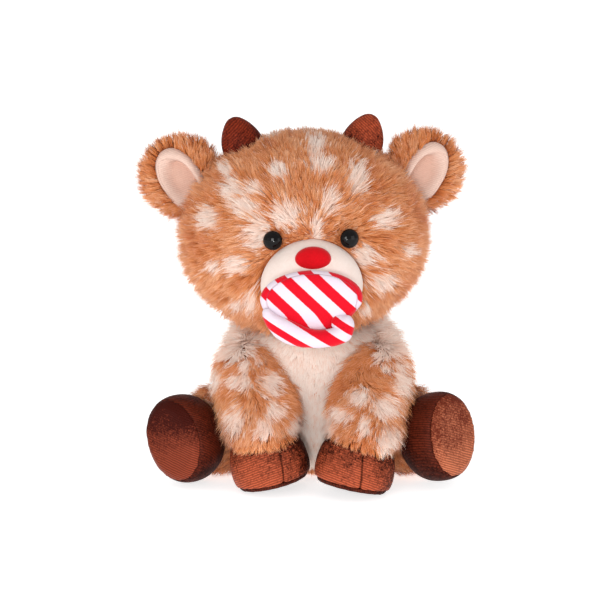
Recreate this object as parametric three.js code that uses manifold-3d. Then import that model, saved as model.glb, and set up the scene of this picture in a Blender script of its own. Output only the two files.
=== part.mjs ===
// A seated plush fawn: a furry head and torso, sewn legs that end in velvet hooves,
// stuffed horns and ears, and a striped pacifier that a magnet holds to the muzzle.
// Millimetres, +Z up. The toy looks along -Y. The origin is on the floor, under the
// middle of the torso's flat seat. "left" is the side of -X, seen from the front.
import * as THREE from 'three';
import { mergeVertices } from 'three/addons/utils/BufferGeometryUtils.js';
import Module from 'manifold-3d';

const wasm = await Module();
wasm.setup();

// Clearances and overruns
const seamGap = 0.3; // between sewn or glued neighbours
const jointGap = 0.5; // round a ball that stands for a flexing seam
const overrun = 240; // how far a cutter runs past what it cuts

// Body. Every stuffed size is measured over the lie of the fur.
const torso = {
  halfWidth: 61,
  halfDepth: 49,
  height: 117,
  seatDepth: 0.5,
  skin: 7,
  fullnessShare: 4.4,
  widthShares: [0.97, 1, 1, 1.02, 1.06],
};
const bib = { halfWidth: 41, baseHeight: 16, skin: 5.6, taperShare: 0.5, bellyShare: 0.5 };
const tail = {
  halfWidth: 15,
  halfDepth: 10,
  height: 40,
  sink: 8,
  reach: 22,
  rise: 34,
  fullnessShare: 2.2,
  curlShare: 0.25,
};
const neck = { drop: 9, shift: -6, forward: 2, ballRadius: 21 };

// Head
const head = {
  halfWidth: 88.5,
  halfDepth: 76,
  halfHeight: 77,
  overlap: 3.5,
  forward: 5,
  skin: 7,
  turnDegrees: 4,
  tiltDegrees: -0.9,
  fullnessShare: 2.08,
  widthShares: [0.93, 1.01, 1.01, 0.98, 0.97],
};
const muzzle = {
  halfWidth: 37,
  halfHeight: 33,
  halfLength: 24,
  below: 28,
  standOut: 22,
  fullnessShare: 2.3,
  openingShare: 0.66,
};
const nose = {
  halfWidth: 13.4,
  halfHeight: 9.4,
  halfThickness: 7,
  above: 21.4,
  sink: 2,
  fullnessShare: 2.4,
};
const eye = {
  radius: 7,
  domeHeight: 6.4,
  flange: 1.6,
  proud: 4.2,
  apart: 55.2,
  above: 5,
  stemRadius: 1.9,
  stemLength: 13,
};
const washer = { radius: 8, thickness: 1.8, boreGap: 0.25, back: 2.4 };
const horn = {
  halfWidth: 15.5,
  halfDepth: 12.5,
  length: 40,
  sink: 18,
  apart: 89,
  leanDegrees: 21,
  fullnessShare: 2.4,
  widthShares: [1.1, 1.1, 1.04, 0.88, 0.7],
};
const ear = {
  halfWidth: 28,
  halfThickness: 9.5,
  length: 58,
  sink: 14,
  apart: 162,
  above: 29,
  back: 4,
  ballRadius: 7.5,
  leanDegrees: 33,
  faceDegrees: 10,
  fullnessShare: 2.2,
  widthShares: [0.86, 0.96, 1.02, 1.02, 0.98],
};
const earLining = {
  halfWidth: 15.5,
  halfHeight: 25,
  proud: 0.6,
  back: 1,
  rim: 1.8,
  cup: 6.4,
};
const magnet = { radius: 6, thickness: 2.5, behindFace: 1.2 };

// The pacifier: a stuffed oval shield and a candy-cane handle in front of it
const shield = {
  halfWidth: 37.2,
  halfHeight: 21.2,
  halfThickness: 9.5,
  below: 32.6,
  aside: -2.5,
  press: 3.5,
  fullnessShare: 2.5,
};
const handle = {
  radius: 7.2,
  fullnessShare: 5,
  standOutShare: 0.92,
  endShare: 0.55,
  routeShares: [
    [-0.84, -0.5],
    [-0.5, -0.98],
    [-0.1, -1.28],
    [0.3, -1.32],
    [0.63, -1.1],
    [0.84, -0.72],
    [0.72, -0.3],
  ],
};

// Legs and hooves. A pair of values is for the left and the right.
const frontLeg = {
  shoulderApart: 92,
  shoulderForward: 25,
  shoulderHeight: 78,
  halfWidth: 29,
  halfDepth: 28,
  topReach: 27,
  ballRadius: 15,
  fullnessShare: 3,
  widthShares: [0.96, 1.02, 1.02, 1, 1],
};
const frontHoof = {
  halfWidth: 28.5,
  halfDepth: 29,
  height: 44,
  apart: 56,
  forward: [74, 88],
  sole: 5,
  turnDegrees: [8, 14],
  rollDegrees: 13,
  pitchDegrees: 3,
  fullnessShare: 2.6,
  rootShare: 0.25,
  ankleShare: 0.8,
  leanShare: 0.2,
  widthShares: [1.02, 1.04, 1, 0.95, 0.9],
};
const hindLeg = {
  hipApart: 114,
  hipForward: 10,
  hipHeight: 36,
  length: 46,
  backReach: 24,
  splayDegrees: [43, 37],
  halfWidth: 31,
  halfHeight: 36.5,
  ballRadius: 14,
  fullnessShare: 2.8,
  widthShares: [0.96, 1.01, 1, 0.98, 0.94],
};
const hindHoof = {
  halfWidth: 27,
  halfHeight: 33,
  depth: 46,
  sole: 5,
  lift: 34,
  faceDegrees: [35, 45],
  rollDegrees: [24, 12],
  pitchDegrees: [4, 14],
  fullnessShare: 2.5,
  heelShare: 0.4,
  reachShare: 1.22,
  widthShares: [0.9, 0.98, 1, 1.01, 1.02],
};

// How far each seam lets its piece turn, in degrees
const headTurnDegrees = [-20, 0, 20];
const earFlexDegrees = [-15, 0, 20];
const frontLegSwingDegrees = [0, 12, 24, 36];
const hindLegSplayDegrees = [0, 8, 16];

// Facets
const coarse = { sides: 14, rings: 8 };
const medium = { sides: 18, rings: 10 };
const fine = { sides: 24, rings: 13 };
const ballFacets = { sides: 12, rings: 8 };
const roundSides = 16;

const velvetBrown = { color: 0x7a3a26, roughness: 0.6, metalness: 0 };
const cloth = {
  spottedFur: new THREE.MeshStandardMaterial({ color: 0xd59a70, roughness: 0.95, metalness: 0 }),
  creamFur: new THREE.MeshStandardMaterial({ color: 0xf1e2cf, roughness: 0.95, metalness: 0 }),
  muzzleVelour: new THREE.MeshStandardMaterial({ color: 0xf5e9da, roughness: 0.9, metalness: 0 }),
  noseVelour: new THREE.MeshStandardMaterial({ color: 0xd8061f, roughness: 0.85, metalness: 0 }),
  earVelour: new THREE.MeshStandardMaterial({ color: 0xecd2c3, roughness: 0.9, metalness: 0 }),
  hoofVelvet: new THREE.MeshStandardMaterial(velvetBrown),
  soleVelvet: new THREE.MeshStandardMaterial({ ...velvetBrown, color: 0x96523c }),
  hornVelvet: new THREE.MeshStandardMaterial({ ...velvetBrown, color: 0x83412b }),
  stripes: new THREE.MeshStandardMaterial({ color: 0xe8385a, roughness: 0.85, metalness: 0 }),
  fibre: new THREE.MeshStandardMaterial({ color: 0xf4f2ee, roughness: 1, metalness: 0 }),
  eyePlastic: new THREE.MeshStandardMaterial({ color: 0x120d0c, roughness: 0.12, metalness: 0 }),
  washerPlastic: new THREE.MeshStandardMaterial({ color: 0xe9e6df, roughness: 0.5, metalness: 0 }),
  magnetMetal: new THREE.MeshStandardMaterial({ color: 0xb9bcc2, roughness: 0.3, metalness: 1 }),
};

const point = (x, y, z) => new THREE.Vector3(x, y, z);
const radians = THREE.MathUtils.degToRad;
const acrossX = point(1, 0, 0);
const upY = point(0, 1, 0);
const upZ = point(0, 0, 1);
const sides = [
  { name: 'left', sign: -1, index: 0 },
  { name: 'right', sign: 1, index: 1 },
];

// A frame at a place, turned about Z, then rolled about its Y, then pitched about its X.
function seatAt(where, pitch = 0, roll = 0, turn = 0) {
  const angles = new THREE.Euler(radians(pitch), radians(roll), radians(turn), 'ZYX');
  return new THREE.Matrix4().compose(
    where,
    new THREE.Quaternion().setFromEuler(angles),
    point(1, 1, 1),
  );
}

const within = (outer, inner) => outer.clone().multiply(inner);

// A smooth value from a row of shares that are evenly spaced from start to end.
function shareAt(shares, t) {
  const spline = new THREE.SplineCurve(shares.map((share, i) => new THREE.Vector2(i, share)));
  return spline.getPoint(THREE.MathUtils.clamp(t, 0, 1)).y;
}

// How wide a stuffed form is at t of its length: a superellipse, full in the middle.
function swellAt(fullness, t) {
  return Math.pow(Math.max(0, 1 - Math.pow(Math.abs(2 * t - 1), fullness)), 1 / fullness);
}

// A stuffed form: oval sections on a centreline that round off at both ends.
// grow moves the whole surface outwards, for the pocket that the form sits in.
function stuffed({ path, halfA, halfB, fullnessShare, widthShares, facets, across = acrossX }, grow = 0) {
  const curve = path.length === 2 ? new THREE.LineCurve3(...path) : new THREE.CatmullRomCurve3(path);
  const length = curve.getLength();
  const corners = [];
  const centres = [];
  for (let ring = 0; ring <= facets.rings; ring += 1) {
    const t = (1 - Math.cos((Math.PI * ring) / facets.rings)) / 2;
    const along = t * (length + 2 * grow) - grow;
    const on = THREE.MathUtils.clamp(along / length, 0, 1);
    const tangent = curve.getTangentAt(on);
    const centre = curve.getPointAt(on).addScaledVector(tangent, along - on * length);
    centres.push(centre);
    if (ring === 0 || ring === facets.rings) continue;
    const wide = across.clone().addScaledVector(tangent, -across.dot(tangent)).normalize();
    const deep = new THREE.Vector3().crossVectors(tangent, wide);
    const swell = swellAt(fullnessShare, t);
    const share = widthShares ? shareAt(widthShares, t) : 1;
    for (let side = 0; side < facets.sides; side += 1) {
      const angle = (2 * Math.PI * side) / facets.sides;
      const a = (halfA * share + grow) * swell * Math.cos(angle);
      const b = (halfB * share + grow) * swell * Math.sin(angle);
      corners.push(centre.clone().addScaledVector(wide, a).addScaledVector(deep, b));
    }
  }
  corners.push(centres[0], centres[facets.rings]);
  const faces = [];
  const start = corners.length - 2;
  const last = (facets.rings - 2) * facets.sides;
  for (let side = 0; side < facets.sides; side += 1) {
    const next = (side + 1) % facets.sides;
    faces.push(start, next, side, start + 1, last + side, last + next);
    for (let low = 0; low < last; low += facets.sides) {
      const high = low + facets.sides;
      faces.push(low + side, low + next, high + next, low + side, high + next, high + side);
    }
  }
  return new THREE.BufferGeometry().setFromPoints(corners).setIndex(faces);
}

// A closed geometry as a solid, after moving it by a matrix.
function solidOf(geometry, matrix = new THREE.Matrix4()) {
  const bare = geometry.clone().applyMatrix4(matrix);
  bare.deleteAttribute('normal');
  bare.deleteAttribute('uv');
  const merged = mergeVertices(bare);
  const vertProperties = new Float32Array(merged.attributes.position.array);
  const triVerts = new Uint32Array(merged.index.array);
  return new wasm.Manifold(new wasm.Mesh({ numProp: 3, vertProperties, triVerts }));
}

function geometryOf(solid) {
  const { vertProperties, triVerts } = solid.getMesh();
  const geometry = new THREE.BufferGeometry();
  geometry.setAttribute('position', new THREE.Float32BufferAttribute(vertProperties, 3));
  geometry.setIndex(new THREE.Uint32BufferAttribute(triVerts, 1));
  return geometry;
}

// A ball whose poles are on the axis that it turns about.
function ballAt(centre, radius, axis) {
  const ball = new THREE.SphereGeometry(radius, ballFacets.sides, ballFacets.rings);
  const turn = new THREE.Quaternion().setFromUnitVectors(upY, axis);
  return solidOf(ball, new THREE.Matrix4().compose(centre, turn, point(1, 1, 1)));
}

// The socket's flats stay clear of the ball's corners as the ball turns.
const socketAt = (centre, radius, axis) =>
  ballAt(centre, (radius + seamGap) / Math.cos(Math.PI / ballFacets.sides), axis);

function blockBetween(low, high) {
  const size = high.clone().sub(low);
  const middle = high.clone().add(low).divideScalar(2);
  return new THREE.BoxGeometry(...size.toArray()).translate(...middle.toArray());
}

// A round bar along its frame's Z, and an oval one along its frame's Y.
const roundBar = (radius, low, high) =>
  new THREE.CylinderGeometry(radius, radius, high - low, roundSides)
    .rotateX(Math.PI / 2)
    .translate(0, 0, (low + high) / 2);
const ovalBar = (halfX, halfZ, low, high) =>
  new THREE.CylinderGeometry(1, 1, high - low, medium.sides)
    .scale(halfX, 1, halfZ)
    .translate(0, (low + high) / 2, 0);

// Cuts a piece clear of a neighbour at every angle that its seam lets it turn to.
function clearOfSwing(solid, neighbour, pivot, axis, degrees) {
  const fromPivot = new THREE.Matrix4().makeTranslation(...pivot.toArray());
  const toPivot = fromPivot.clone().invert();
  return degrees.reduce((left, angle) => {
    const back = new THREE.Matrix4().makeRotationAxis(axis, radians(-angle));
    return left.subtract(solidOf(neighbour, within(within(fromPivot, back), toPivot)));
  }, solid);
}

// A group's frame, and a piece's, is kept in the toy's frame and set from the group's above.
function groupAt(parent, seat) {
  const group = new THREE.Group();
  group.userData.seat = seat;
  const above = parent ? parent.userData.seat : new THREE.Matrix4();
  within(above.clone().invert(), seat).decompose(group.position, group.quaternion, group.scale);
  if (parent) parent.add(group);
  return group;
}

function place(group, name, solid, material, seat) {
  const geometry = geometryOf(solid).applyMatrix4(seat.clone().invert());
  const piece = new THREE.Mesh(geometry, material);
  piece.name = name;
  const local = within(group.userData.seat.clone().invert(), seat);
  local.decompose(piece.position, piece.quaternion, piece.scale);
  group.add(piece);
}

const belowFloor = solidOf(blockBetween(point(-overrun, -overrun, -overrun), point(overrun, overrun, 0)));

// Where the head stands, and its form. A negative grow is what is inside a skin.
const neckPoint = point(neck.shift, -neck.forward, torso.height - neck.drop);
const headSeat = seatAt(neckPoint, 0, head.tiltDegrees, head.turnDegrees);
const headCentre = point(0, -head.forward, head.halfHeight - head.overlap);
const onHead = (x, y, z) => headCentre.clone().add(point(x, y, z));

function headForm(grow = 0) {
  const path = [onHead(0, 0, -head.halfHeight), onHead(0, 0, head.halfHeight)];
  const form = { ...head, path, halfA: head.halfWidth, halfB: head.halfDepth, facets: fine };
  return stuffed(form, grow).applyMatrix4(headSeat);
}

// How far forward the head's surface is at a place on its front.
function headFront(x, z) {
  const t = (z / head.halfHeight + 1) / 2;
  const swell = swellAt(head.fullnessShare, t) * shareAt(head.widthShares, t);
  return head.halfDepth * Math.sqrt(Math.max(0, swell ** 2 - (x / head.halfWidth) ** 2));
}

// How high the head's surface is at a place on its top.
const headTop = (x) => head.halfHeight * Math.sqrt(1 - (x / head.halfWidth) ** 2);

function torsoForm(grow = 0) {
  const path = [point(0, 0, -torso.seatDepth), point(0, 0, torso.height)];
  const form = { ...torso, path, halfA: torso.halfWidth, halfB: torso.halfDepth, facets: fine };
  return stuffed(form, grow);
}

// Muzzle, nose and pacifier, one in front of the other
const muzzleCentre = onHead(
  0,
  muzzle.halfLength - headFront(0, -muzzle.below) - muzzle.standOut,
  -muzzle.below,
);

function muzzleForm(grow = 0, share = 1) {
  const reach = point(0, muzzle.halfLength, 0);
  const path = [muzzleCentre.clone().add(reach), muzzleCentre.clone().sub(reach)];
  const form = {
    ...muzzle,
    path,
    halfA: muzzle.halfWidth * share,
    halfB: muzzle.halfHeight * share,
    facets: medium,
  };
  return stuffed(form, grow).applyMatrix4(headSeat);
}

// How far the muzzle's face stands in front of its middle, at a height above the middle.
function muzzleFace(z) {
  const n = muzzle.fullnessShare;
  return muzzle.halfLength * (1 - Math.abs(z / muzzle.halfHeight) ** n) ** (1 / n);
}

const noseSeat = within(
  headSeat,
  seatAt(muzzleCentre.clone().add(point(0, nose.sink - muzzleFace(nose.above), nose.above))),
);

function noseForm(grow = 0) {
  const path = [point(0, nose.halfThickness, 0), point(0, -nose.halfThickness, 0)];
  const form = { ...nose, path, halfA: nose.halfWidth, halfB: nose.halfHeight, facets: coarse };
  return stuffed(form, grow).applyMatrix4(noseSeat);
}

const mouthHeight = muzzle.below - shield.below;
const mouth = muzzleCentre.clone().add(point(0, -muzzleFace(mouthHeight), mouthHeight));
const mouthSeat = within(headSeat, seatAt(mouth, 90));
const pacifierMiddle = mouth.clone().add(point(shield.aside, shield.press - shield.halfThickness, 0));
const pacifierSeat = within(headSeat, seatAt(pacifierMiddle));

function shieldForm(grow = 0) {
  const path = [point(0, shield.halfThickness, 0), point(0, -shield.halfThickness, 0)];
  const form = { ...shield, path, halfA: shield.halfWidth, halfB: shield.halfHeight, facets: medium };
  return stuffed(form, grow).applyMatrix4(pacifierSeat);
}

function handleForm() {
  const ends = [0, handle.routeShares.length - 1];
  const path = handle.routeShares.map(([x, z], index) => {
    const out = handle.standOutShare * (ends.includes(index) ? handle.endShare : 1);
    return point(x * shield.halfWidth, -out * shield.halfThickness, z * shield.halfHeight);
  });
  const form = {
    ...handle,
    path,
    halfA: handle.radius,
    halfB: handle.radius,
    facets: { sides: coarse.sides, rings: fine.rings },
    across: point(0, 1, 0),
  };
  return stuffed(form).applyMatrix4(pacifierSeat);
}

// An eye stands on its frame's Z, with the underside of its rim at the origin.
function eyeSeat(side) {
  const x = (side.sign * eye.apart) / 2;
  const y = -headFront(x, eye.above);
  const facing = point(x / head.halfWidth ** 2, y / head.halfDepth ** 2, eye.above / head.halfHeight ** 2);
  facing.normalize();
  const on = onHead(x, y, eye.above).addScaledVector(facing, eye.proud - eye.domeHeight);
  const turn = new THREE.Quaternion().setFromUnitVectors(upZ, facing);
  return within(headSeat, new THREE.Matrix4().compose(on, turn, point(1, 1, 1)));
}

function eyeForm(grow = 0) {
  const radius = eye.radius + grow;
  const dome = new THREE.EllipseCurve(
    0,
    eye.flange,
    radius,
    eye.domeHeight - eye.flange + grow,
    0,
    Math.PI / 2,
  );
  const profile = [
    new THREE.Vector2(0, -eye.stemLength - grow),
    new THREE.Vector2(eye.stemRadius + grow, -eye.stemLength - grow),
    new THREE.Vector2(eye.stemRadius + grow, -grow),
    new THREE.Vector2(radius, -grow),
    ...dome.getPoints(medium.rings / 2),
  ];
  profile[profile.length - 1].x = 0;
  return new THREE.LatheGeometry(profile, roundSides).rotateX(Math.PI / 2);
}

// The washer clips on the stem inside the head.
function washerDisc(grow = 0) {
  const low = washer.back - eye.stemLength;
  return roundBar(washer.radius + grow, low - grow, low + washer.thickness + grow);
}

const washerBore = roundBar(eye.stemRadius + washer.boreGap, -overrun, overrun);

// The legs, in the toy's own frame
const shoulderOf = (side) =>
  point((side.sign * frontLeg.shoulderApart) / 2, -frontLeg.shoulderForward, frontLeg.shoulderHeight);
const hipOf = (side) =>
  point((side.sign * hindLeg.hipApart) / 2, -hindLeg.hipForward, hindLeg.hipHeight);

// The rolled and pitched sole's lowest rim is the seat's depth below the floor before its cut.
function frontHoofSeat(side) {
  const roll = frontHoof.halfWidth * Math.sin(radians(frontHoof.rollDegrees));
  const pitch = frontHoof.halfDepth * Math.sin(radians(frontHoof.pitchDegrees));
  const middle = point(
    (side.sign * frontHoof.apart) / 2,
    -frontHoof.forward[side.index],
    Math.hypot(roll, pitch) - torso.seatDepth,
  );
  const turn = frontHoof.turnDegrees[side.index];
  return seatAt(middle, -frontHoof.pitchDegrees, side.sign * frontHoof.rollDegrees, turn);
}

function frontHoofForm(side, grow = 0) {
  const { height } = frontHoof;
  const path = [
    point(0, 0, -frontHoof.rootShare * height),
    point(0, frontHoof.leanShare * height, height),
  ];
  const form = {
    ...frontHoof,
    path,
    halfA: frontHoof.halfWidth,
    halfB: frontHoof.halfDepth,
    facets: medium,
  };
  return stuffed(form, grow).applyMatrix4(frontHoofSeat(side));
}

function frontLegForm(side, grow = 0) {
  const shoulder = shoulderOf(side);
  const ankle = point(0, 0, frontHoof.ankleShare * frontHoof.height).applyMatrix4(frontHoofSeat(side));
  const down = ankle.clone().sub(shoulder).normalize();
  const path = [shoulder.clone().addScaledVector(down, -frontLeg.topReach), ankle];
  path[1].addScaledVector(down, frontHoof.ankleShare * frontLeg.halfDepth);
  const form = {
    ...frontLeg,
    path,
    halfA: frontLeg.halfWidth,
    halfB: frontLeg.halfDepth,
    facets: coarse,
  };
  return stuffed(form, grow);
}

// The hind leg runs along its own frame's -Y from the hip.
const hindLegSeat = (side) =>
  seatAt(hipOf(side), 0, 0, side.sign * hindLeg.splayDegrees[side.index]);

function hindLegForm(side, grow = 0) {
  const path = [point(0, hindLeg.backReach, 0), point(0, -hindLeg.length, 0)];
  const form = {
    ...hindLeg,
    path,
    halfA: hindLeg.halfWidth,
    halfB: hindLeg.halfHeight,
    facets: coarse,
  };
  return stuffed(form, grow).applyMatrix4(hindLegSeat(side));
}

function hindHoofSeat(side) {
  const middle = point(0, -hindLeg.length, hindHoof.lift - hindLeg.hipHeight);
  return seatAt(
    middle.applyMatrix4(hindLegSeat(side)),
    -hindHoof.pitchDegrees[side.index],
    side.sign * hindHoof.rollDegrees[side.index],
    side.sign * hindHoof.faceDegrees[side.index],
  );
}

function hindHoofForm(side, grow = 0) {
  const heel = hindHoof.depth * hindHoof.heelShare;
  const path = [point(0, heel, 0), point(0, heel - hindHoof.depth * hindHoof.reachShare, 0)];
  const form = {
    ...hindHoof,
    path,
    halfA: hindHoof.halfWidth,
    halfB: hindHoof.halfHeight,
    facets: medium,
  };
  return stuffed(form, grow).applyMatrix4(hindHoofSeat(side));
}

const deer = groupAt(null, new THREE.Matrix4());
const bodyGroup = groupAt(deer, new THREE.Matrix4());
const headGroup = groupAt(deer, headSeat);
const aroundHead = headForm(seamGap);

let headSkin = solidOf(headForm())
  .subtract(solidOf(headForm(-head.skin)))
  .subtract(solidOf(muzzleForm(0, muzzle.openingShare)));
let headFilling = solidOf(headForm(-head.skin - seamGap));
let muzzleSolid = solidOf(muzzleForm()).subtract(solidOf(aroundHead));

function makeEyes() {
  for (const side of sides) {
    const seat = eyeSeat(side);
    const pocket = solidOf(eyeForm(seamGap), seat);
    const washerPocket = solidOf(washerDisc(seamGap), seat);
    const ring = solidOf(washerDisc(), seat).subtract(solidOf(washerBore, seat));
    headSkin = headSkin.subtract(pocket).subtract(washerPocket);
    headFilling = headFilling.subtract(pocket).subtract(washerPocket);
    muzzleSolid = muzzleSolid.subtract(pocket);
    place(headGroup, `eye_${side.name}`, solidOf(eyeForm(), seat), cloth.eyePlastic, seat);
    place(headGroup, `eye_washer_${side.name}`, ring, cloth.washerPlastic, seat);
  }
}

function makeHorns() {
  for (const side of sides) {
    const x = (side.sign * horn.apart) / 2;
    const seat = within(headSeat, seatAt(onHead(x, 0, headTop(x)), 0, side.sign * horn.leanDegrees));
    const path = [point(0, 0, -horn.sink), point(0, 0, horn.length - horn.sink)];
    const form = { ...horn, path, halfA: horn.halfWidth, halfB: horn.halfDepth, facets: coarse };
    const solid = solidOf(stuffed(form), seat).subtract(solidOf(aroundHead));
    place(headGroup, `horn_${side.name}`, solid, cloth.hornVelvet, seat);
  }
}

// Each ear's front is hollowed for a lining that cups towards the ear's middle.
function makeEars() {
  const aroundJoint = headForm(jointGap);
  for (const side of sides) {
    const root = onHead((side.sign * ear.apart) / 2, ear.back, ear.above);
    const lean = side.sign * ear.leanDegrees;
    const seat = within(headSeat, seatAt(root, 0, lean, side.sign * ear.faceDegrees));
    const pivot = point(0, 0, 0).applyMatrix4(seat);
    const axis = acrossX.clone().transformDirection(seat);
    const clear = (solid) => clearOfSwing(solid, aroundJoint, pivot, axis, earFlexDegrees);

    const path = [point(0, 0, -ear.sink), point(0, 0, ear.length - ear.sink)];
    const form = { ...ear, path, halfA: ear.halfWidth, halfB: ear.halfThickness, facets: medium };
    const liningSeat = within(seat, seatAt(point(0, 0, ear.length / 2 - ear.sink)));
    const { halfWidth, halfHeight, back, proud, rim, cup } = earLining;
    const hollow = ovalBar(halfWidth + seamGap, halfHeight + seamGap, -overrun, seamGap - back);
    const outline = ovalBar(halfWidth, halfHeight, -overrun, -back);
    const cupSeat = within(liningSeat, seatAt(point(0, -ear.halfThickness - proud, 0)));
    const cupForm = new THREE.SphereGeometry(1, coarse.sides, coarse.rings).scale(
      halfWidth - rim,
      cup,
      halfHeight - rim,
    );
    const lining = solidOf(stuffed(form, proud), seat)
      .intersect(solidOf(outline, liningSeat))
      .subtract(solidOf(cupForm, cupSeat));
    const body = solidOf(stuffed(form), seat).subtract(solidOf(hollow, liningSeat));
    const earGroup = groupAt(headGroup, seat);
    const earSolid = clear(body).add(ballAt(pivot, ear.ballRadius, axis));
    const liningBall = ballAt(pivot, ear.ballRadius + seamGap, axis);
    place(earGroup, `ear_${side.name}`, earSolid, cloth.spottedFur, seat);
    place(earGroup, `ear_lining_${side.name}`, clear(lining).subtract(liningBall), cloth.earVelour, seat);
    const socket = socketAt(pivot, ear.ballRadius, axis);
    headSkin = headSkin.subtract(socket);
    headFilling = headFilling.subtract(socket);
  }
}

// The two magnets face each other, each in a pocket that opens at the mouth.
function makeFace() {
  const rest = -magnet.behindFace - magnet.thickness;
  const magnetSolid = solidOf(roundBar(magnet.radius, rest, rest + magnet.thickness), mouthSeat);
  const magnetPocket = roundBar(magnet.radius + seamGap, rest - seamGap, overrun);
  const muzzleBody = muzzleSolid
    .subtract(solidOf(magnetPocket, mouthSeat))
    .subtract(solidOf(noseForm(seamGap)));
  place(headGroup, 'muzzle', muzzleBody, cloth.muzzleVelour, within(headSeat, seatAt(muzzleCentre)));
  place(headGroup, 'muzzle_magnet', magnetSolid, cloth.magnetMetal, mouthSeat);
  place(headGroup, 'nose', solidOf(noseForm()), cloth.noseVelour, noseSeat);
}

function makePacifier() {
  const group = groupAt(headGroup, pacifierSeat);
  const rest = seamGap + magnet.behindFace;
  const top = rest + magnet.thickness;
  const pocket = roundBar(magnet.radius + seamGap, -shield.press, top + seamGap);
  const shieldSolid = solidOf(shieldForm())
    .subtract(solidOf(muzzleForm(seamGap)))
    .subtract(solidOf(noseForm(seamGap)))
    .subtract(solidOf(pocket, mouthSeat));
  const handleSolid = solidOf(handleForm()).subtract(solidOf(shieldForm(seamGap)));
  const magnetSolid = solidOf(roundBar(magnet.radius, rest, top), mouthSeat);
  place(group, 'pacifier_shield', shieldSolid, cloth.stripes, pacifierSeat);
  place(group, 'pacifier_handle', handleSolid, cloth.stripes, pacifierSeat);
  place(group, 'pacifier_magnet', magnetSolid, cloth.magnetMetal, mouthSeat);
}

makeEyes();
makeHorns();
makeEars();
makeFace();
makePacifier();
const headMiddle = within(headSeat, seatAt(headCentre));
headSkin = headSkin.add(ballAt(neckPoint, neck.ballRadius, upZ));
headFilling = headFilling.subtract(ballAt(neckPoint, neck.ballRadius + seamGap, upZ));
place(headGroup, 'head_skin', headSkin, cloth.spottedFur, headMiddle);
place(headGroup, 'head_filling', headFilling, cloth.fibre, headMiddle);

// The bib's outline, seen from the front: narrow at the seat and wide at the neck.
function bibBar(grow = 0) {
  const wide = bib.halfWidth + grow;
  const narrow = bib.halfWidth * bib.taperShare + grow;
  const low = bib.baseHeight - grow;
  const belly = low + (torso.height - low) * bib.bellyShare;
  const outline = new THREE.Shape();
  outline.moveTo(-narrow, low);
  outline.lineTo(narrow, low);
  outline.quadraticCurveTo(wide, belly, wide, torso.height);
  outline.lineTo(wide, overrun);
  outline.lineTo(-wide, overrun);
  outline.lineTo(-wide, torso.height);
  outline.quadraticCurveTo(-wide, belly, -narrow, low);
  const settings = { depth: overrun, bevelEnabled: false, curveSegments: coarse.rings };
  return solidOf(new THREE.ExtrudeGeometry(outline, settings).rotateX(Math.PI / 2));
}

const torsoWhole = solidOf(torsoForm()).subtract(belowFloor);
let torsoSkin = torsoWhole.subtract(solidOf(torsoForm(-torso.skin))).subtract(bibBar(seamGap));
let chestPanel = torsoWhole.subtract(solidOf(torsoForm(-bib.skin))).intersect(bibBar());
let torsoFilling = solidOf(torsoForm(-torso.skin - seamGap));

// Front legs: the inner sides stop short of the middle plane, where the two hooves meet.
function makeFrontLegs() {
  for (const side of sides) {
    const shoulder = shoulderOf(side);
    const seat = seatAt(shoulder);
    const group = groupAt(bodyGroup, seat);
    const hoofSeat = frontHoofSeat(side);
    const near = side.sign * (seamGap / 2);
    const far = -side.sign * overrun;
    const otherSide = solidOf(
      blockBetween(
        point(Math.min(near, far), -overrun, -overrun),
        point(Math.max(near, far), overrun, overrun),
      ),
    );
    const legBody = solidOf(frontLegForm(side))
      .subtract(solidOf(frontHoofForm(side, seamGap)))
      .subtract(solidOf(aroundHead))
      .subtract(otherSide);
    const swing = acrossX.clone().negate();
    const leg = clearOfSwing(legBody, torsoForm(jointGap), shoulder, swing, frontLegSwingDegrees)
      .subtract(belowFloor)
      .add(ballAt(shoulder, frontLeg.ballRadius, acrossX));
    const hoof = solidOf(frontHoofForm(side))
      .subtract(solidOf(torsoForm(jointGap)))
      .subtract(otherSide)
      .subtract(belowFloor);
    const slab = (low, high) =>
      solidOf(blockBetween(point(-overrun, -overrun, low), point(overrun, overrun, high)), hoofSeat);
    const upper = hoof.subtract(slab(-overrun, frontHoof.sole));
    const sole = hoof.intersect(slab(0, frontHoof.sole - seamGap));
    place(group, `front_leg_${side.name}`, leg, cloth.spottedFur, seat);
    place(group, `front_hoof_${side.name}`, upper, cloth.hoofVelvet, hoofSeat);
    place(group, `front_sole_${side.name}`, sole, cloth.soleVelvet, hoofSeat);
    const socket = socketAt(shoulder, frontLeg.ballRadius, acrossX);
    torsoSkin = torsoSkin.subtract(socket);
    chestPanel = chestPanel.subtract(socket);
    torsoFilling = torsoFilling.subtract(socket);
  }
}

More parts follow.
